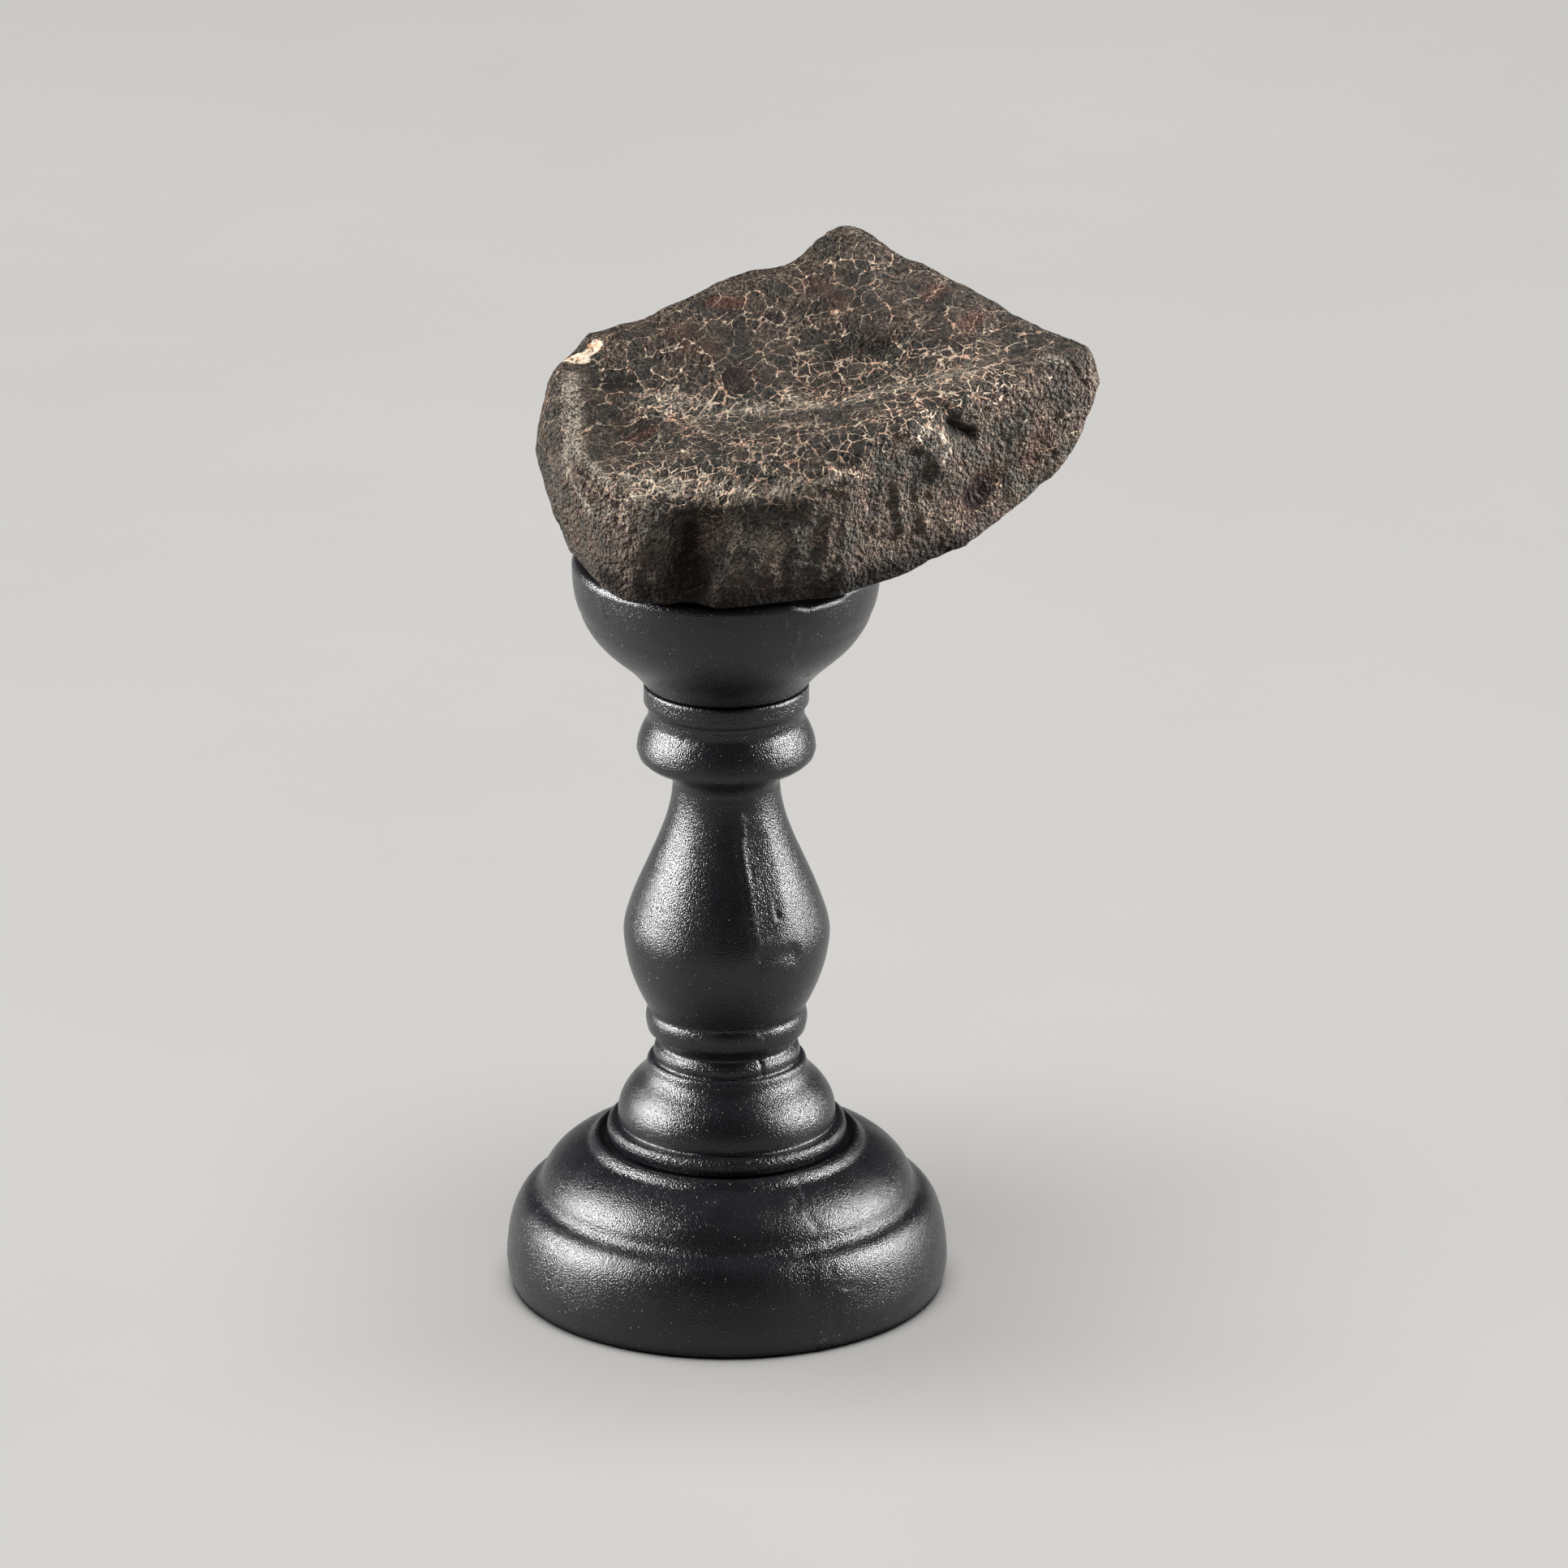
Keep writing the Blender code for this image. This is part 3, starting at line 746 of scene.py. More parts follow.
points = points_of(stone.data)
drawn_gap = np.full(len(points), CRACK_FAR)
drawn_spot = points.copy()
for index, point in enumerate(points.tolist()):
    spot, _, gap = dot_finder.find(point)
    if gap < CRACK_FAR:
        drawn_gap[index], drawn_spot[index] = gap, spot
print("crack dots:", len(dots))

# %% [markdown]
# ## The stone: a net of finer cracks
#
# Everywhere else, and finer between the drawn cracks, a net of cells covers the skin. Seeds are thrown on
# the surface and kept only if no other seed is close; a crack runs wherever a point is as near to one
# seed as to the next. A Voronoi texture would be less work, but it fills space, and where one of its
# walls runs along the surface the line smears. Seeds on the surface make walls that cross it squarely.
# Points that are almost on a crack are pulled onto it and pressed in a little, so the line stays sharp
# and the crack is a real groove. The distance to the nearest crack, and how bold it is, stay on the skin
# as attributes, and the material draws its line from them.

# %% Crack net on the skin
SEED_THROWS = 9000
CELL_WIDE, CELL_CROWDED = 3.0, 1.8
NET_SHAKE = ((2.0, 0.55, 70.0), (0.7, 0.16, 80.0))
BORDERS = 977
DRAWN_BOLD = 0.95
DRAWN_FIRST = 0.15
PULL_REACH = 0.62 * SKIN_STEP
GROOVE = 0.05


def brushed(points, tree, marks, firmness=2):
    """The strongest of some soft brush marks at each point, from 0 to 1; firmness gives them an edge."""
    value = np.zeros(len(points))
    for path, reach, strength in marks:
        away = distance_to(points, surface_path(tree, path))
        value = np.maximum(value, strength * np.exp(-((away / reach) ** firmness)))
    return value


CROWDED = [
    ([(-9, 47), (-3, 46.8), (3, 46), (12, 47), (22, 49), (30, 51)], 2.8, 1.0),
    ([(-12, 38), (-6, 37), (2, 37), (10, 38), (15, 41), (22, 46), (32, 50)], 3.4, 1.0),
    ([(10, 51), (20, 52), (30, 53)], 2.2, 0.7),
    ([(-10, 42), (0, 42), (10, 43)], 3.2, 0.45),
]
crowding = brushed(points, stone_tree, CROWDED)
random = np.random.default_rng(11)
seeds = np.empty((0, 3))
for pick in random.integers(0, len(points), SEED_THROWS):
    wish = CELL_WIDE + (CELL_CROWDED - CELL_WIDE) * crowding[pick]
    if len(seeds) == 0 or np.linalg.norm(seeds - points[pick], axis=1).min() > wish:
        seeds = np.vstack([seeds, points[pick]])
seed_finder = finder_of(seeds)

bent = points.copy()
for axis in range(3):
    bent[:, axis] += swells(points, NET_SHAKE, axis)
net_gap = np.zeros(len(points))
net_way = np.zeros((len(points), 3))
net_bold = np.zeros(len(points))
bold_of_border = random.uniform(0, 1, BORDERS)
for index, point in enumerate(bent.tolist()):
    (near, first, gap_one), (far, second, gap_two) = seed_finder.find_n(point, 2)
    way = np.array(far) - np.array(near)
    apart = np.linalg.norm(way)
    net_gap[index] = (gap_two ** 2 - gap_one ** 2) / (2 * apart)
    net_way[index] = way / apart
    net_bold[index] = bold_of_border[(min(first, second) * 31 + max(first, second)) % BORDERS]

facing = normals_of(stone.data)
use_drawn = drawn_gap < net_gap + DRAWN_FIRST
crack_gap = np.where(use_drawn, drawn_gap, net_gap)
top_front = np.clip(facing[:, 2] * 1.4 + 0.25, 0, 1) * np.clip(0.85 - facing[:, 1], 0, 1)
net_bold = (0.27 + 0.38 * net_bold + 0.4 * crowding) * (0.12 + 0.88 * np.clip(top_front * 1.3, 0, 1))
crack_bold = np.where(use_drawn, DRAWN_BOLD, net_bold)
pull = crack_gap < PULL_REACH
spot = np.where(use_drawn[:, None], drawn_spot, points + net_way * net_gap[:, None])
points = np.where(pull[:, None], spot - facing * (GROOVE * crack_bold)[:, None], points)
crack_gap[pull] = 0.0
put_points(stone.data, points)


def keep_values(mesh, name, values):
    """Stores one number for each point of the mesh, for a material to read."""
    mesh.attributes.new(name, "FLOAT", "POINT").data.foreach_set("value", values.astype(np.float32))


keep_values(stone.data, "crack_gap", crack_gap)
keep_values(stone.data, "crack_bold", crack_bold)
keep_values(stone.data, "crowded", crowding)
# high where the skin faces sideways or down; the crust colour uses it for painted shade, darker where the
# skin faces up
keep_values(stone.data, "sideways", np.clip(0.9 - facing[:, 2], 0, 1))
print("cells:", len(seeds), "points on a crack:", int(pull.sum()))

# %% [markdown]
# ## The stone: where each colour lies
#
# The crust isn't the same all over. Along the ledges it is pale and chalky and the cracks crowd together;
# the same pale coat is a painted highlight along the left ridge and the edge of the ridge over the front
# face, and painted light low on the front face; here and there a cell is worn to a smooth dark or rust-red
# face; painted shade darkens the groove, the pockets, the hollows under the ridge and the bottom edge; and
# one corner is chipped to the cream inside. Each of these is a soft brush mark on the skin: a front-view
# path, a reach and a strength, kept as a named attribute. The material breaks up their edges with noise.

# %% Brush marks
# pale chalky crust along the ledges; the marks along the left ridge and the ridge's edge over the front
# face are painted highlight, and the two wide marks low on the front face are painted light
CHALK_AND_HIGHLIGHT = [
    ([(-19.3, 50), (-19.7, 44), (-19.2, 38), (-17, 34)], 1.8, 0.8),
    ([(-18.7, 50), (-18.4, 41), (-14.5, 36.8), (-9.8, 34.4)], 1.4, 0.8),
    ([(-21.5, 50), (-21.8, 42), (-20.5, 35)], 1.6, 0.35),
    ([(-17, 34), (-12, 32.4), (-7.5, 31)], 2.4, 0.6),
    ([(-7, 35.6), (0, 35.9), (8, 36.2), (12, 37.4)], 0.7, 1.0),
    ([(-9, 47), (-3, 46.8), (3, 46), (12, 46.6), (22, 49), (30, 51)], 3.2, 0.6),
    ([(-12, 37.5), (-6, 36.4), (2, 36), (10, 36.4), (14, 38)], 2.4, 0.75),
    ([(38.5, 52.6), (41.5, 52)], 1.2, 0.8),
    ([(9, 68.5), (16, 68)], 1.4, 0.6),
    ([(21.5, 41), (24, 43.4), (26, 43.6)], 0.8, 0.7),
    ([(26.4, 43.2), (27.6, 41.4), (27, 40)], 0.6, 0.9),
    ([(21.4, 36), (21.8, 30.5)], 0.8, 0.7),
    ([(24.3, 34.5), (24.7, 31)], 0.6, 0.7),
    ([(1, 30), (8, 30.2)], 4.2, 0.6),
    ([(-12, 28), (-10, 25)], 3.5, 0.35),
]
RUST = [
    ([(-1.5, 59.5), (1.2, 59.2)], 1.3, 1.0),
    ([(29, 56.2), (31, 57.8)], 1.3, 0.8),
    ([(24.8, 60), (26, 61)], 1.4, 0.7),
    ([(30.3, 35.4), (31.8, 37.2)], 2.3, 1.0),
    ([(-11.5, 42.5), (-9.5, 43.5)], 1.2, 0.7),
    ([(11, 62), (14, 59)], 2.2, 0.5),
    ([(-6, 56), (-2, 53)], 2.5, 0.5),
    ([(37, 40), (39, 43)], 2.6, 0.5),
    ([(5, 24), (9, 21)], 2.4, 0.5),
]
SMOOTH = [
    ([(1.3, 50.1), (1.4, 49.6)], 1.9, 1.0),
    ([(-10.3, 44.3), (-10.1, 44.1)], 0.9, 1.0),
    ([(-14, 49.3), (-12, 49.3)], 1.7, 0.42),
    ([(-8.7, 49.6), (-8, 49.2)], 1.4, 0.4),
    ([(30.5, 35.6), (31.4, 36.8)], 2.0, 0.8),
    ([(5.4, 57.6), (5.9, 57.4)], 1.1, 0.45),
    ([(-3, 42), (1, 40.8)], 1.5, 0.35),
    ([(8, 40), (10, 39.8)], 1.2, 0.35),
]
# painted shade: dark marks down the groove, under the ridge, in the pocket and the hollows, and along the
# bottom edge
PAINTED_SHADE_MARKS = [
    ([(-4.6, 31.5), (-4.6, 28)], 1.7, 0.95),
    ([(-4.6, 27.5), (-4.6, 25)], 2.7, 1.0),
    ([(-4.8, 24), (-4.8, 21.5)], 4.2, 1.0),
    ([(-4.8, 21), (-4.6, 17)], 5.6, 1.0),
    ([(-5.5, 33.6), (-2, 33.2)], 1.5, 0.6),
    ([(-2, 33.5), (10, 34.4)], 1.8, 0.32),
    ([(12, 36.3), (15.5, 38)], 0.9, 0.6),
    ([(27.5, 44.1), (30.2, 43.1)], 0.8, 1.0),
    ([(14, 54), (20, 56), (22, 52)], 3.0, 0.3),
    ([(-14.7, 25.4), (-7.3, 23), (-0.9, 22.4), (9.9, 23.8), (19.7, 25.8), (27.6, 29)], 2.6, 0.8),
]
CHIP = [
    ([(-19.2, 52.4), (-17.6, 52.9), (-16, 53.9)], 1.05, 1.0),
    ([(-18.9, 52.1), (-17.4, 52.2)], 0.7, 1.0),
]

stone_tree = tree_of(stone.data)
points = points_of(stone.data)
for name, marks in (("chalk_and_highlight", CHALK_AND_HIGHLIGHT), ("rust", RUST), ("painted_shade", PAINTED_SHADE_MARKS)):
    keep_values(stone.data, name, brushed(points, stone_tree, marks))
for name, marks in (("smooth_cell", SMOOTH), ("chip", CHIP)):
    keep_values(stone.data, name, brushed(points, stone_tree, marks, 4))
print("attributes:", [one.name for one in stone.data.attributes if not one.is_internal][:12])

# %% [markdown]
# ## The stone: crust
#
# The crust is charcoal, mottled at the size of a grain, and redder or browner in patches. Its colour is
# painted darker where the skin faces up and lighter down the sides, as painted shade, and the crust is
# coarser down the sides. Noises of three sizes make it, from grains of a third of a millimetre to patches
# of five, because one size alone looks like sandpaper. A few pale hair-thin threads run where one more
# noise passes through its middle value.

# %% Crust colour
CRUST_BLACK = shade(0.004, 0.0035, 0.003)
CHARCOAL = shade(0.070, 0.066, 0.057)
REDDISH = shade(0.084, 0.060, 0.052)
BROWN = shade(0.092, 0.071, 0.055)
CRUST_PALE = shade(0.21, 0.18, 0.14)
THREAD = shade(0.30, 0.235, 0.17)


def attribute(tree, name):
    """A number stored on the skin."""
    return add(tree, "ShaderNodeAttribute", out=2, attribute_name=name)


crust, tree, surface, place = new_material("cracked crust")
mottle = noise_at(tree, place, 0.3, 3.0, 0.65)
grit = noise_at(tree, place, 0.3, 2.0, 0.6)
patch = noise_at(tree, place, 2.6, 3.0, 0.6)
drift = noise_at(tree, place, 5.0, 3.0, 0.6)

sideways = plus(tree, attribute(tree, "sideways"), minus(tree, drift, 0.5))
contrast = fade(tree, sideways, 0.0, 0.9, 3.6, 2.7)
speckle = plus(tree, centred(tree, mottle, contrast), centred(tree, patch, 1.6))
hue = blend_colours(tree, fade(tree, drift, 0.42, 0.58), CHARCOAL, REDDISH)
hue = blend_colours(tree, fade(tree, patch, 0.48, 0.62), hue, BROWN)
# painted shade: the crust colour is darkened where the skin faces up and lightened down the sides
hue = blend_colours(tree, 1.0, hue, fade(tree, sideways, 0.0, 0.9, 0.34, 0.7), "MULTIPLY")
colour = blend_colours(tree, fade(tree, speckle, -1.1, 0.3), CRUST_BLACK, hue)
colour = blend_colours(tree, fade(tree, speckle, 0.3, 1.6), colour, CRUST_PALE)

thread = minus(tree, noise_at(tree, place, 1.5, 4.0, 0.6), 0.5)
thread = fade(tree, maths(tree, "ABSOLUTE", thread), 0.004, 0.02, 1.0, 0.0)
colour = coated(tree, colour, thread, fade(tree, drift, 0.45, 0.6, 0.0, 0.5), THREAD)
print("material:", crust.name)

# %% [markdown]
# ## The stone: rust, chalk and painted highlight, worn cells and painted shade
#
# Each of these is a coat laid over the last. Its brush mark says where, and the mottle, added before the
# fade, breaks the mark into ragged islands. A plain soft mark would look airbrushed.

# %% Coats on the crust
RUST_RED = shade(0.05, 0.021, 0.014)
# pale grey coat: chalky crust, and painted highlight and painted light where the chalk marks say
CHALK_AND_HIGHLIGHT_GREY = shade(0.42, 0.37, 0.30)
FLECK = shade(0.30, 0.26, 0.21)
WORN_BLACK = shade(0.010, 0.007, 0.0065)
# near-black coat for the painted shade
PAINTED_SHADE_BLACK = shade(0.006, 0.0055, 0.005)

ragged = centred(tree, mottle, 2.5)
rust = fade(tree, plus(tree, attribute(tree, "rust"), ragged), 0.25, 0.7)
colour = coated(tree, colour, rust, 0.75, RUST_RED)
# the pale coat: chalk on the ledges, painted highlight on the ridges and painted light on the front face
chalk_and_highlight = fade(tree, plus(tree, attribute(tree, "chalk_and_highlight"), speckle), 0.35, 1.5)
colour = coated(tree, colour, chalk_and_highlight, attribute(tree, "chalk_and_highlight"), CHALK_AND_HIGHLIGHT_GREY)
colour = coated(tree, colour, fade(tree, grit, 0.66, 0.74), 0.5, FLECK)
worn = plus(tree, attribute(tree, "smooth_cell"), times(tree, ragged, 0.5))
worn = fade(tree, worn, 0.3, 0.6)
colour = coated(tree, colour, worn, 0.9, WORN_BLACK)
# painted shade: the marks darken the groove, pockets, hollows and bottom edge, broken up by noise
shade_ragged = maths(tree, "MULTIPLY_ADD", ragged, 0.6, centred(tree, patch, 1.2))
painted_shade = fade(tree, plus(tree, attribute(tree, "painted_shade"), shade_ragged), 0.05, 0.95)
colour = coated(tree, colour, painted_shade, 0.93, PAINTED_SHADE_BLACK)
print("coats:", ("rust", "chalk_and_highlight", "flecks", "worn cells", "painted_shade"))

# %% [markdown]
# ## The stone: lines in the cracks
#
# The drawn cracks and the net on the skin are drawn where their stored distance is small, wider at some
# knots than at others, and the `crack net` group adds the finest lines where cells crowd. The filling
# goes from cream to peach. Worn cells and the painted shade hide most of it.

# %% Crack lines
CREAM_CLAY, PEACH_CLAY = shade(0.50, 0.40, 0.295), shade(0.52, 0.32, 0.225)
THIN_LINE, KNOT = 0.035, 0.085

crowded = plus(tree, attribute(tree, "crowded"), minus(tree, drift, 0.5))
fine_line = use_group(tree, crack_net, {"Place": place, "Cell": 1.7, "Width": 0.05, "Wander": 0.5})
fine_line = times(tree, fine_line, fade(tree, crowded, 0.0, 0.7, 0.1, 0.9))
width = fade(tree, noise_at(tree, place, 0.8, 1.0), 0.5, 0.68, THIN_LINE, KNOT)
gap = plus(tree, attribute(tree, "crack_gap"), centred(tree, grit, 0.3))
drawn_line = fade(tree, maths(tree, "DIVIDE", gap, width), 0.1, 1.1, 1.0, 0.0)
bold = times(tree, attribute(tree, "crack_bold"), fade(tree, drift, 0.35, 0.6, 0.6, 1.0))
lines = maths(tree, "MAXIMUM", fine_line, times(tree, drawn_line, bold))
hidden = times(tree, maths(tree, "MAXIMUM", worn, painted_shade), 0.85)
lines = times(tree, lines, minus(tree, 1.0, hidden))
tint = fade(tree, noise_at(tree, place, 1.4, 2.0), 0.46, 0.64)
clay = blend_colours(tree, tint, CREAM_CLAY, PEACH_CLAY)
colour = coated(tree, colour, lines, 0.9, clay)
print("line width in mm:", THIN_LINE, "to", KNOT)

# %% [markdown]
# ## The stone: chip, sheen and relief
#
# The chipped corner lies over everything, cream with tan stains and dark pits. The same masks then drive
# the rest: pale grains have a faint burnt sheen, worn cells a little more, clay less and the painted shade
# none. Worn and chipped places lose most of their grain. Crust reflects little, so the specular level is
# one low number on the shader's own socket.

# %% Chip, sheen and relief
FRESH_CREAM, FRESH_TAN = shade(0.42, 0.36, 0.28), shade(0.34, 0.20, 0.12)
PIT_BROWN = shade(0.06, 0.04, 0.03)
CRUST_SPECULAR = 0.06

chip = fade(tree, plus(tree, attribute(tree, "chip"), times(tree, ragged, 0.8)), 0.35, 0.6)
stains = fade(tree, noise_at(tree, place, 0.9, 3.0), 0.4, 0.65)
pits = fade(tree, noise_at(tree, place, 0.6, 2.0), 0.6, 0.68)
inner = blend_colours(tree, stains, FRESH_CREAM, FRESH_TAN)
inner = blend_colours(tree, pits, inner, PIT_BROWN)
colour = blend_colours(tree, chip, colour, inner)

tips = fade(tree, speckle, -0.3, 1.2)
sheen = fade(tree, tips, 0.0, 1.0, 0.65, 0.28)
sheen = minus(tree, sheen, times(tree, worn, 0.2))
sheen = plus(tree, sheen, times(tree, lines, 0.2))
sheen = maths(tree, "MAXIMUM", sheen, times(tree, painted_shade, 0.9))
surface.inputs["Specular IOR Level"].default_value = CRUST_SPECULAR

bumps = times(tree, noise_at(tree, place, 0.55, 1.0), fade(tree, sideways, 0.0, 0.9, 1.4, 2.3))
height = plus(tree, times(tree, mottle, 0.6), times(tree, patch, 1.2))
height = plus(tree, height, bumps)
calm = minus(tree, 1.0, times(tree, maths(tree, "MAXIMUM", worn, chip), 0.75))
finish_with(tree, surface, colour, sheen, times(tree, height, calm), 0.9)

stone.data.materials.clear()
stone.data.materials.append(crust)
only_stone.objects.link(stone)
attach(stone, "root")
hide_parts("meteorite")
print("stone box in mm:", points.min(0).round(1), points.max(0).round(1))

# %% [markdown]
# ## The stand: black satin paint
#
# Spray paint dries with a fine orange peel, lumps about 0.2 mm across, and that is what breaks the
# softbox streaks into glitter. In the grooves and round the foot ring it has gathered with dust into a
# coarser crust, so each piece keeps a value that is high at those heights. The colour is nearly black
# with a hint of violet. Colour and roughness wander a little in slow clouds where hands have polished it,
# scuffs are paler and duller, and pale specks of dust sit in the paint.

# %% Paint
PAINT_BLACK, POLISHED_BLACK = shade(0.0035, 0.003, 0.0042), shade(0.007, 0.006, 0.008)
SCUFF_GREY = shade(0.16, 0.15, 0.16)
CAUGHT_DUST = shade(0.4, 0.38, 0.36)
PEEL_SIZE, CRUST_SIZE = 0.19, 0.27
PAINT_SPECULAR = 0.5

paint, tree, surface, place = new_material("black satin paint")
gathered = attribute(tree, "gathered")
slow = use_group(tree, clouds, {"Place": place, "Size": 9.0, "Cover": 0.5, "Softness": 0.25})
worn_thin = fade(tree, noise_at(tree, place, 0.4, 2.0), 0.45, 0.6)
scuffed = times(tree, attribute(tree, "scuff"), worn_thin)
caught = maths(tree, "MULTIPLY_ADD", gathered, 0.35, 0.2)
specks = use_group(tree, dust, {"Place": place, "Spacing": 0.45, "Speck": 0.05, "Share": caught})
black = blend_colours(tree, slow, PAINT_BLACK, POLISHED_BLACK)
black = coated(tree, black, scuffed, 0.3, SCUFF_GREY)
black = coated(tree, black, specks, 0.55, CAUGHT_DUST)

surface.inputs["Specular IOR Level"].default_value = PAINT_SPECULAR
satin = fade(tree, slow, 0.0, 1.0, 0.23, 0.29)
satin = plus(tree, satin, times(tree, scuffed, 0.25))

peel = use_group(tree, grain, {"Place": place, "Size": PEEL_SIZE, "Ragged": 0.3})
lumps = use_group(tree, grain, {"Place": place, "Size": CRUST_SIZE, "Ragged": 0.6})
ripple = noise_at(tree, place, 0.9, 2.0)
height = plus(tree, times(tree, peel, 0.045), times(tree, ripple, 0.008))
height = plus(tree, height, times(tree, lumps, times(tree, gathered, 0.08)))
finish_with(tree, surface, black, satin, height, 1.0)
print("material:", paint.name)

# %% [markdown]
# ## The stand: turning the three pieces
#
# Base, stem and cup are turned shapes, so each is one outline spun round the axis. The outline is read
# off the CAD node itself, along its cut at angle zero, so it can't drift from the frame. Between two of
# its points the new outline curves smoothly, except where it turns sharply, which keeps the crisp grooves
# under the beads. Its points lie close together, because satin paint shows every flat, and the scars
# below need them. Modelling the outline anew as a Bezier curve would look as smooth, but could drift.

# %% Outlines
OUTLINE_STEP = 0.4
CORNER = math.radians(24)
TINY = 1e-6


def outline_of(node):
    """(radius, height) along a turned CAD node's cut, in millimetres, from top middle to bottom middle."""
    shape = merged_copy(node)
    cut = {v for v in shape.verts if v.co.x > -TINY and abs(v.co.y) < TINY}
    joined = {v: [e.other_vert(v) for e in v.link_edges if e.other_vert(v) in cut] for v in cut}
    ends = sorted((v for v in cut if len(joined[v]) == 1), key=lambda v: -v.co.z)
    walk = [ends[0]]
    while walk[-1] is not ends[-1]:
        walk.append(next(v for v in joined[walk[-1]] if v not in walk))
    path = [(v.co.x, v.co.z) for v in walk]
    path = np.array([(0, path[0][1])] * (path[0][0] > TINY) + path + [(0, path[-1][1])]) / MM
    shape.free()
    return path


def unit_of(way):
    """The same direction with a length of one."""
    return way / np.linalg.norm(way)


def rounded(path):
    """Adds points between the outline's own, on smooth curves that stop at its corners."""
    ways = np.diff(path, axis=0)
    lengths = np.linalg.norm(ways, axis=1)
    units = ways / lengths[:, None]
    turn = np.arccos(np.clip((units[1:] * units[:-1]).sum(1), -1, 1))
    sharp = np.concatenate([[True], turn > CORNER, [True]])
    fine = []
    for k, length in enumerate(lengths):
        leave = units[k] if sharp[k] else unit_of(units[k] + units[k - 1])
        meet = units[k] if sharp[k + 1] else unit_of(units[k] + units[k + 1])
        steps = max(1, round(length / OUTLINE_STEP)) if path[k:k + 2, 1].max() > 0.01 else 2
        for t in np.arange(steps) / steps:
            h = np.array([2 * t**3 - 3 * t**2 + 1, t**3 - 2 * t**2 + t, 3 * t**2 - 2 * t**3, t**3 - t**2])
            fine.append(h[0] * path[k] + h[1] * length * leave
                        + h[2] * path[k + 1] + h[3] * length * meet)
    fine.append(path[-1])
    return np.array(fine)


outlines = {node: rounded(outline_of(node)) for node in ("base", "stem", "cup")}
print("outline points:", {node: len(path) for node, path in outlines.items()})

# %% [markdown]
# Geometry Nodes do the spinning, because a turned piece is a rule: the same outline at every angle. The
# tree lays a grid with a column for each angle and a row for each point of the outline, rolls it round the
# axis, and merges the points that meet at the seam and at the two poles. The faces of such a grid point
# inwards, so they are flipped. A Screw modifier would do much the same in one step; the tree is written
# out because it shows how a rule becomes a mesh, and its helpers serve the dust later.

# %% Turning tree
def open_tree(name, sockets, result):
    """An empty Geometry Nodes tree with named sockets; inputs are (name, kind, default)."""
    tree = bpy.data.node_groups.new(name, "GeometryNodeTree")
    tree.is_modifier = True
    for label, kind, default in sockets:
        socket = tree.interface.new_socket(label, in_out="INPUT", socket_type="NodeSocket" + kind)
        if default is not None:
            socket.default_value = default
    tree.interface.new_socket(result, in_out="OUTPUT", socket_type="NodeSocketGeometry")
    return tree, tree.nodes.new("NodeGroupInput").outputs, tree.nodes.new("NodeGroupOutput").inputs


def close_tree(tree, shape, material, leave):
    """Ends a tree: instances become real faces and get their material."""
    real = add(tree, "GeometryNodeRealizeInstances", {0: shape})
    tree.links.new(add(tree, "GeometryNodeSetMaterial", {"Geometry": real, "Material": material}), leave)


def turning_tree(material):
    """Geometry Nodes that spin an outline, a row of points at (radius, 0, height), round the axis."""
    sockets = (("Outline", "Geometry", None), ("Steps", "Int", 64), ("Merge", "Float", 0.001 * MM))
    tree, entry, leave = open_tree("turned outline", sockets, "Turned")
    rows = add(tree, "GeometryNodeAttributeDomainSize", {"Geometry": entry["Outline"]})
    columns = plus(tree, entry["Steps"], 1.0)
    grid = add(tree, "GeometryNodeMeshGrid", {"Vertices X": columns, "Vertices Y": rows})
    index = add(tree, "GeometryNodeInputIndex")
    column = add(tree, "FunctionNodeIntegerMath", {0: index, 1: rows}, operation="DIVIDE")
    row = add(tree, "FunctionNodeIntegerMath", {0: index, 1: rows}, operation="MODULO")
    found = {"Geometry": entry["Outline"], "Value": add(tree, "GeometryNodeInputPosition"), "Index": row}
    point = add(tree, "GeometryNodeSampleIndex", found, data_type="FLOAT_VECTOR")
    point = add(tree, "ShaderNodeSeparateXYZ", {0: point}).node.outputs
    angle = times(tree, column, maths(tree, "DIVIDE", 2 * math.pi, entry["Steps"]))
    across = times(tree, point["X"], maths(tree, "COSINE", angle))
    deep = times(tree, point["X"], maths(tree, "SINE", angle))
    place = add(tree, "ShaderNodeCombineXYZ", {"X": across, "Y": deep, "Z": point["Z"]})
    rolled = add(tree, "GeometryNodeSetPosition", {"Geometry": grid, "Position": place})
    closed = add(tree, "GeometryNodeMergeByDistance", {"Geometry": rolled, "Distance": entry["Merge"]})
    outward = add(tree, "GeometryNodeFlipFaces", {"Mesh": closed})
    smooth = add(tree, "GeometryNodeSetShadeSmooth", {"Geometry": outward})
    close_tree(tree, smooth, material, leave["Turned"])
    return tree


def run_tree(piece, tree, settings):
    """Runs a tree on a piece with its named inputs set, and leaves a plain mesh.

    A grid or a ball made by a tree brings an empty material slot of its own, which is dropped.
    """
    modifier = piece.modifiers.new(tree.name, "NODES")
    modifier.node_group = tree
    for socket in tree.interface.items_tree:
        if socket.in_out == "INPUT" and socket.name in settings:
            modifier[socket.identifier] = settings[socket.name]
    made_plain(piece)
    piece.data.materials.pop(index=0)
    return piece


turning = turning_tree(paint)
print("tree:", turning.name)

# %% Turning
SPIN_STEPS = 256


def spun(name, node):
    """A closed turned piece from a CAD node's outline."""
    mesh = bpy.data.meshes.new(name)
    path = outlines[node] * MM
    mesh.from_pydata([(radius, 0, height) for radius, height in path.tolist()], [], [])
    piece = run_tree(linked(name, mesh), turning, {"Steps": SPIN_STEPS})
    print(name, "faces:", len(piece.data.polygons), "rings:", len(path) - 2)
    return piece


base = spun("stand-base", "base")
stem = spun("stand-stem", "stem")
cup = spun("stand-cup", "cup")

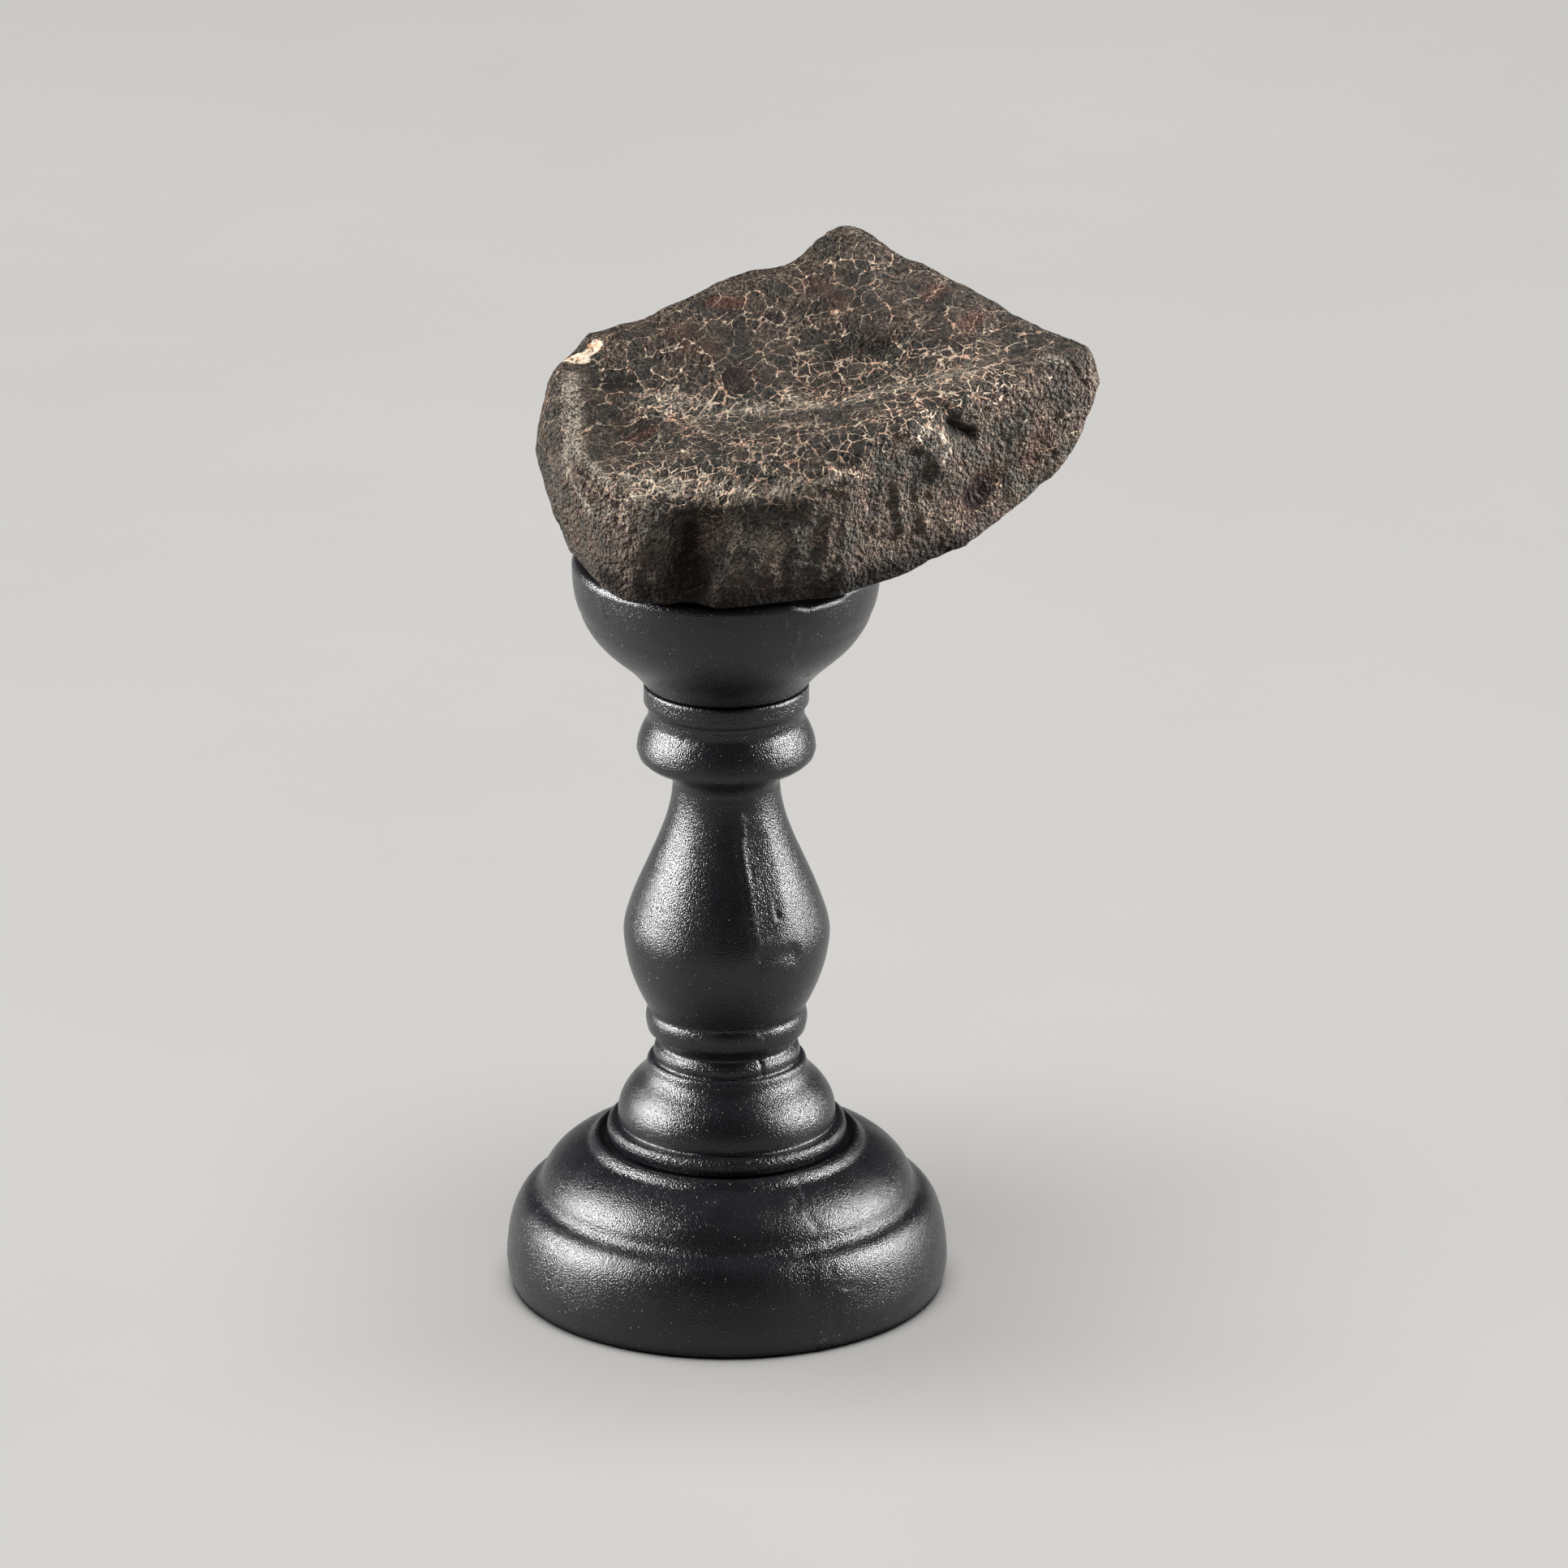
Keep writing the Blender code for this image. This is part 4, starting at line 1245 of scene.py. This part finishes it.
# %% [markdown]
# ## The stand: scars under the paint
#
# The wood under the paint had a split down its right front, filled and painted over: a fine raised seam
# on the vase, short wrinkles on the rings, cracks across the base. There is an oval dent low on the vase,
# a burst bubble above it, and a few bumps on the cup. They are strokes again, pressed into the turned
# skin as the stone's were, so they are real shape and catch the softboxes from any side. The fine strokes
# also leave a scuff value, where the paint is thin and paler.

# %% Scars
# path seen from the front (mm across, mm up), reach, height
STEM_STROKES = [
    ([(1.8, -4.2), (2.2, -5.8), (2.1, -7.6), (2.3, -10.1)], 0.26, 0.1),
    ([(2.3, -10.1), (2.7, -12.2), (3.1, -14.8), (3.5, -16.8), (3.9, -20)], 0.34, 0.05),
    ([(1.8, -3.8), (2.5, -4.6)], 0.22, 0.1),
    ([(3.4, -7), (4.4, -12), (5.0, -18)], 1.9, -0.2),
    ([(5.2, -6), (6.6, -11), (7.4, -16)], 0.7, 0.06),
    ([(4.6, -21.6), (6.4, -21.2), (8.3, -20.8)], 1.0, -0.3),
    ([(4.3, -23.4), (8.4, -22.8)], 0.7, 0.12),
    ([(6.3, -16.3), (6.35, -16.4)], 0.4, -0.3),
    ([(6.0, -16.1), (6.1, -16.7), (6.6, -16.8)], 0.2, 0.14),
    ([(3.2, -10.7), (3.1, -11.2)], 0.2, -0.14),
    ([(6.1, -14.7), (6.1, -14.9)], 0.2, -0.12),
    ([(3.6, -30), (3.8, -31.1)], 0.16, 0.12),
    ([(4.2, -29.8), (4.5, -31.3)], 0.16, 0.12),
    ([(4.3, -30.8), (4.7, -31.7)], 0.14, -0.12),
    ([(4.0, -34), (4.4, -35.7)], 0.2, -0.35),
    ([(4.8, -34.1), (4.9, -35.2)], 0.16, 0.14),
    ([(5.2, -34.1), (5.4, -35.2)], 0.16, 0.14),
    ([(5.7, -34), (5.8, -35)], 0.16, 0.14),
    ([(6.1, -33.9), (6.3, -34.8)], 0.16, 0.12),
    ([(7.4, -46.5), (8.0, -47.8)], 0.16, 0.14),
    ([(6.8, -47), (7.2, -48)], 0.16, 0.12),
    ([(5.9, -47.3), (6.2, -48.2)], 0.16, 0.12),
]
BASE_STROKES = [
    ([(8.3, -50.8), (8.5, -52.6)], 0.2, -0.2),
    ([(8.7, -49), (9.8, -51.3)], 0.2, -0.2),
    ([(9.9, -52.9), (10.2, -53.7)], 0.18, -0.2),
    ([(10.7, -54), (11.5, -55.1)], 0.18, -0.2),
    ([(11.5, -56.4), (11.6, -57.2), (11.3, -58.5)], 0.18, 0.1),
    ([(7.5, -56.5), (7.8, -58.5)], 0.2, 0.14),
    ([(8.4, -56.9), (8.7, -58.3)], 0.2, 0.12),
    ([(12.4, -59.3), (13.1, -60.6), (13.5, -62), (14.3, -62.1), (15.9, -62)], 0.18, -0.14),
    ([(13, -62.2), (13.3, -65), (13.5, -67)], 0.35, -0.12),
    ([(11.5, -67.9), (11.6, -68.9)], 0.18, 0.14),
    ([(12, -67.8), (12.3, -68.8)], 0.18, 0.14),
    ([(13.5, -67.9), (13.8, -68.7)], 0.18, 0.12),
    ([(18.2, -67.1), (21.3, -65.9)], 0.35, 0.08),
    ([(10, -60), (11.5, -64)], 2.2, -0.12),
]
CUP_STROKES = [
    ([(7, 21.1), (7.2, 19.6)], 0.15, 0.12),
    ([(8.7, 19.5), (8.8, 17.4)], 0.15, 0.12),
    ([(7.9, 16.3), (8.5, 14.5)], 0.18, 0.1),
    ([(10, 13.3), (10.1, 13.4)], 0.3, 0.16),
    ([(-15.4, 24), (-15.2, 21)], 0.5, 0.12),
    ([(-12, 18.8), (-9, 18.2)], 0.5, 0.08),
]
FINE_STROKE = 0.3
SOLE = 0.2
# size, height and start of each layer of noise
HAND_TURNED = ((6.0, 0.05, 61.0), (2.5, 0.02, 67.0))


def scarred(piece, strokes):
    """Presses strokes into a piece and stores where the paint is scuffed by them."""
    points, facing, tree = points_of(piece.data), normals_of(piece.data), tree_of(piece.data)
    relief, scuff = np.zeros(len(points)), np.zeros(len(points))
    for path, reach, height in strokes:
        near = np.exp(-((distance_to(points, surface_path(tree, path)) / reach) ** 2))
        relief += height * near
        if reach < FINE_STROKE:
            scuff = np.maximum(scuff, near)
    relief += swells(points, HAND_TURNED)
    relief[points[:, 2] <= SOLE] = 0
    put_points(piece.data, points + facing * relief[:, None])
    keep_values(piece.data, "scuff", scuff)
    print(piece.name, "strokes:", len(strokes), "scuffed points:", int((scuff > 0.5).sum()))


scarred(stem, STEM_STROKES)
scarred(base, BASE_STROKES)
scarred(cup, CUP_STROKES)

# %% [markdown]
# ## The stand: the broken rim
#
# The rim of the cup has lost a sliver: from the front it dips gently and comes back up in one small step.
# It is lowered by angle, with a soft start and an abrupt end. Cutting the sliver off with a Boolean would
# leave long thin faces, which show in satin paint.

# %% Broken rim
RIM_START, RIM_EASE, RIM_STEP_AT = 24.0, 9.0, 50.0
RIM_DROP, RIM_DEPTH = 0.7, 3.0

points = points_of(cup.data)
angle = np.degrees(np.arctan2(points[:, 0], -points[:, 1]))
ease = np.clip((angle - RIM_START) / RIM_EASE, 0, 1)
dip = ease * ease * (3 - 2 * ease) * (angle < RIM_STEP_AT)
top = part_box("cup")[1][2] / MM
share = np.clip((points[:, 2] - (top - RIM_DEPTH)) / RIM_DEPTH, 0, 1)
points[:, 2] -= RIM_DROP * dip * share
put_points(cup.data, points)
print("rim lowered by", RIM_DROP, "mm over", RIM_STEP_AT - RIM_START, "degrees")

# %% [markdown]
# ## The stand: where paint gathers
#
# The paint above reads two values from each piece: `scuff`, which the strokes left, and `gathered`, which
# is high in the grooves and round the foot ring. Last, each piece takes the place of its CAD node.

# %% Where paint gathers
# height of each groove or ring, how far round it the paint is rough, and how rough
ROUGH_BANDS = (
    (base, [(12.8, 0.8, 0.55), (18.4, 0.5, 0.4)]),
    (stem, [(20.7, 0.8, 1.0), (30.9, 0.6, 0.8), (75.2, 0.7, 0.5), (77.8, 1.2, 0.6)]),
    (cup, [(80.6, 0.8, 0.6), (88.7, 0.5, 0.4)]),
)
for piece, bands in ROUGH_BANDS:
    heights = points_of(piece.data)[:, 2]
    gathered = sum(share * np.exp(-(((heights - at) / reach) ** 2)) for at, reach, share in bands)
    keep_values(piece.data, "gathered", np.clip(gathered, 0, 1))

for piece, node in ((base, "base"), (stem, "stem"), (cup, "cup")):
    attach(piece, "root")
    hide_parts(node)
print("painted:", base.name, stem.name, cup.name)

# %% [markdown]
# ## Dust on the stand
#
# Bits of dust and grit have settled on the paint, most of them where a roll faces up. Each is a tiny
# flattened lump, and hundreds of them follow the surface, so Geometry Nodes scatter them: points on the
# faces, a squashed ball of twenty faces on each, turned and sized at random from a fixed seed. Single
# meshes placed in Python would do the same with far more code.

# %% Scatter tree
FLATTEST, ROUNDEST = (0.6, 0.4, 0.25), (1.0, 0.8, 0.5)


def scatter_tree(material):
    """Geometry Nodes that cover a surface with tiny flattened lumps."""
    sockets = (("Surface", "Geometry", None), ("Density", "Float", 20.0), ("Smallest", "Float", 0.05),
               ("Largest", "Float", 0.1), ("Seed", "Int", 1))
    tree, entry, leave = open_tree("settled specks", sockets, "Specks")
    facing = add(tree, "GeometryNodeInputNormal")
    height = add(tree, "ShaderNodeSeparateXYZ", {0: facing}, out=2)
    ends = {"Value": height, "From Min": -0.3, "From Max": 0.9, "To Min": 0.15, "To Max": 1.0}
    upward = add(tree, "ShaderNodeMapRange", ends)
    density = times(tree, upward, entry["Density"])
    spread = tree.nodes.new("GeometryNodeDistributePointsOnFaces")
    tree.links.new(entry["Surface"], spread.inputs["Mesh"])
    tree.links.new(density, spread.inputs["Density"])
    tree.links.new(entry["Seed"], spread.inputs["Seed"])
    lump = add(tree, "GeometryNodeMeshIcoSphere", {"Radius": MM, "Subdivisions": 1})
    squash = add(tree, "FunctionNodeRandomValue", {0: FLATTEST, 1: ROUNDEST}, data_type="FLOAT_VECTOR")
    sizes = {2: entry["Smallest"], 3: entry["Largest"], 8: entry["Seed"]}
    size = add(tree, "FunctionNodeRandomValue", sizes, out=1, data_type="FLOAT")
    scale = vector_maths(tree, "SCALE", squash, size)
    parts = {"Points": spread.outputs["Points"], "Rotation": spread.outputs["Rotation"],
             "Instance": lump, "Scale": scale}
    placed = add(tree, "GeometryNodeInstanceOnPoints", parts)
    close_tree(tree, placed, material, leave["Specks"])
    return tree


def scattered(name, surface, tree, settings):
    """Runs the scatter over a piece and returns the specks as a plain mesh."""
    specks = run_tree(linked(name, surface.data.copy()), tree, settings)
    put_points(specks.data, points_of(specks.data))
    print(name, "faces:", len(specks.data.polygons))
    return specks


print("a speck is squashed to", FLATTEST, "up to", ROUNDEST)

# %% [markdown]
# The specks are pale grey to cream and dull. Each piece gets its own cover of them, most on the stem, and
# its own seed.

# %% Scatter specks
DUST_GREY, DUST_CREAM = shade(0.5, 0.48, 0.45), shade(0.75, 0.72, 0.66)
PER_SQUARE_MM = 1e6

grit_finish, tree, surface, place = new_material("dust and grit")
warm = fade(tree, noise_at(tree, place, 1.0, 1.0), 0.4, 0.6)
pale = blend_colours(tree, warm, DUST_GREY, DUST_CREAM)
dull = fade(tree, warm, 0.0, 1.0, 0.7, 0.9)
finish_with(tree, surface, pale, dull, noise_at(tree, place, 0.05), 0.3)

scatter = scatter_tree(grit_finish)
for piece, share, seed in ((base, 0.06, 3), (stem, 0.1, 5), (cup, 0.08, 7)):
    settings = {"Density": share * PER_SQUARE_MM, "Smallest": 0.02, "Largest": 0.07, "Seed": seed}
    specks = scattered(piece.name + "-dust", piece, scatter, settings)
    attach(specks, "root")
print("dust on:", [piece.name for piece in (base, stem, cup)])
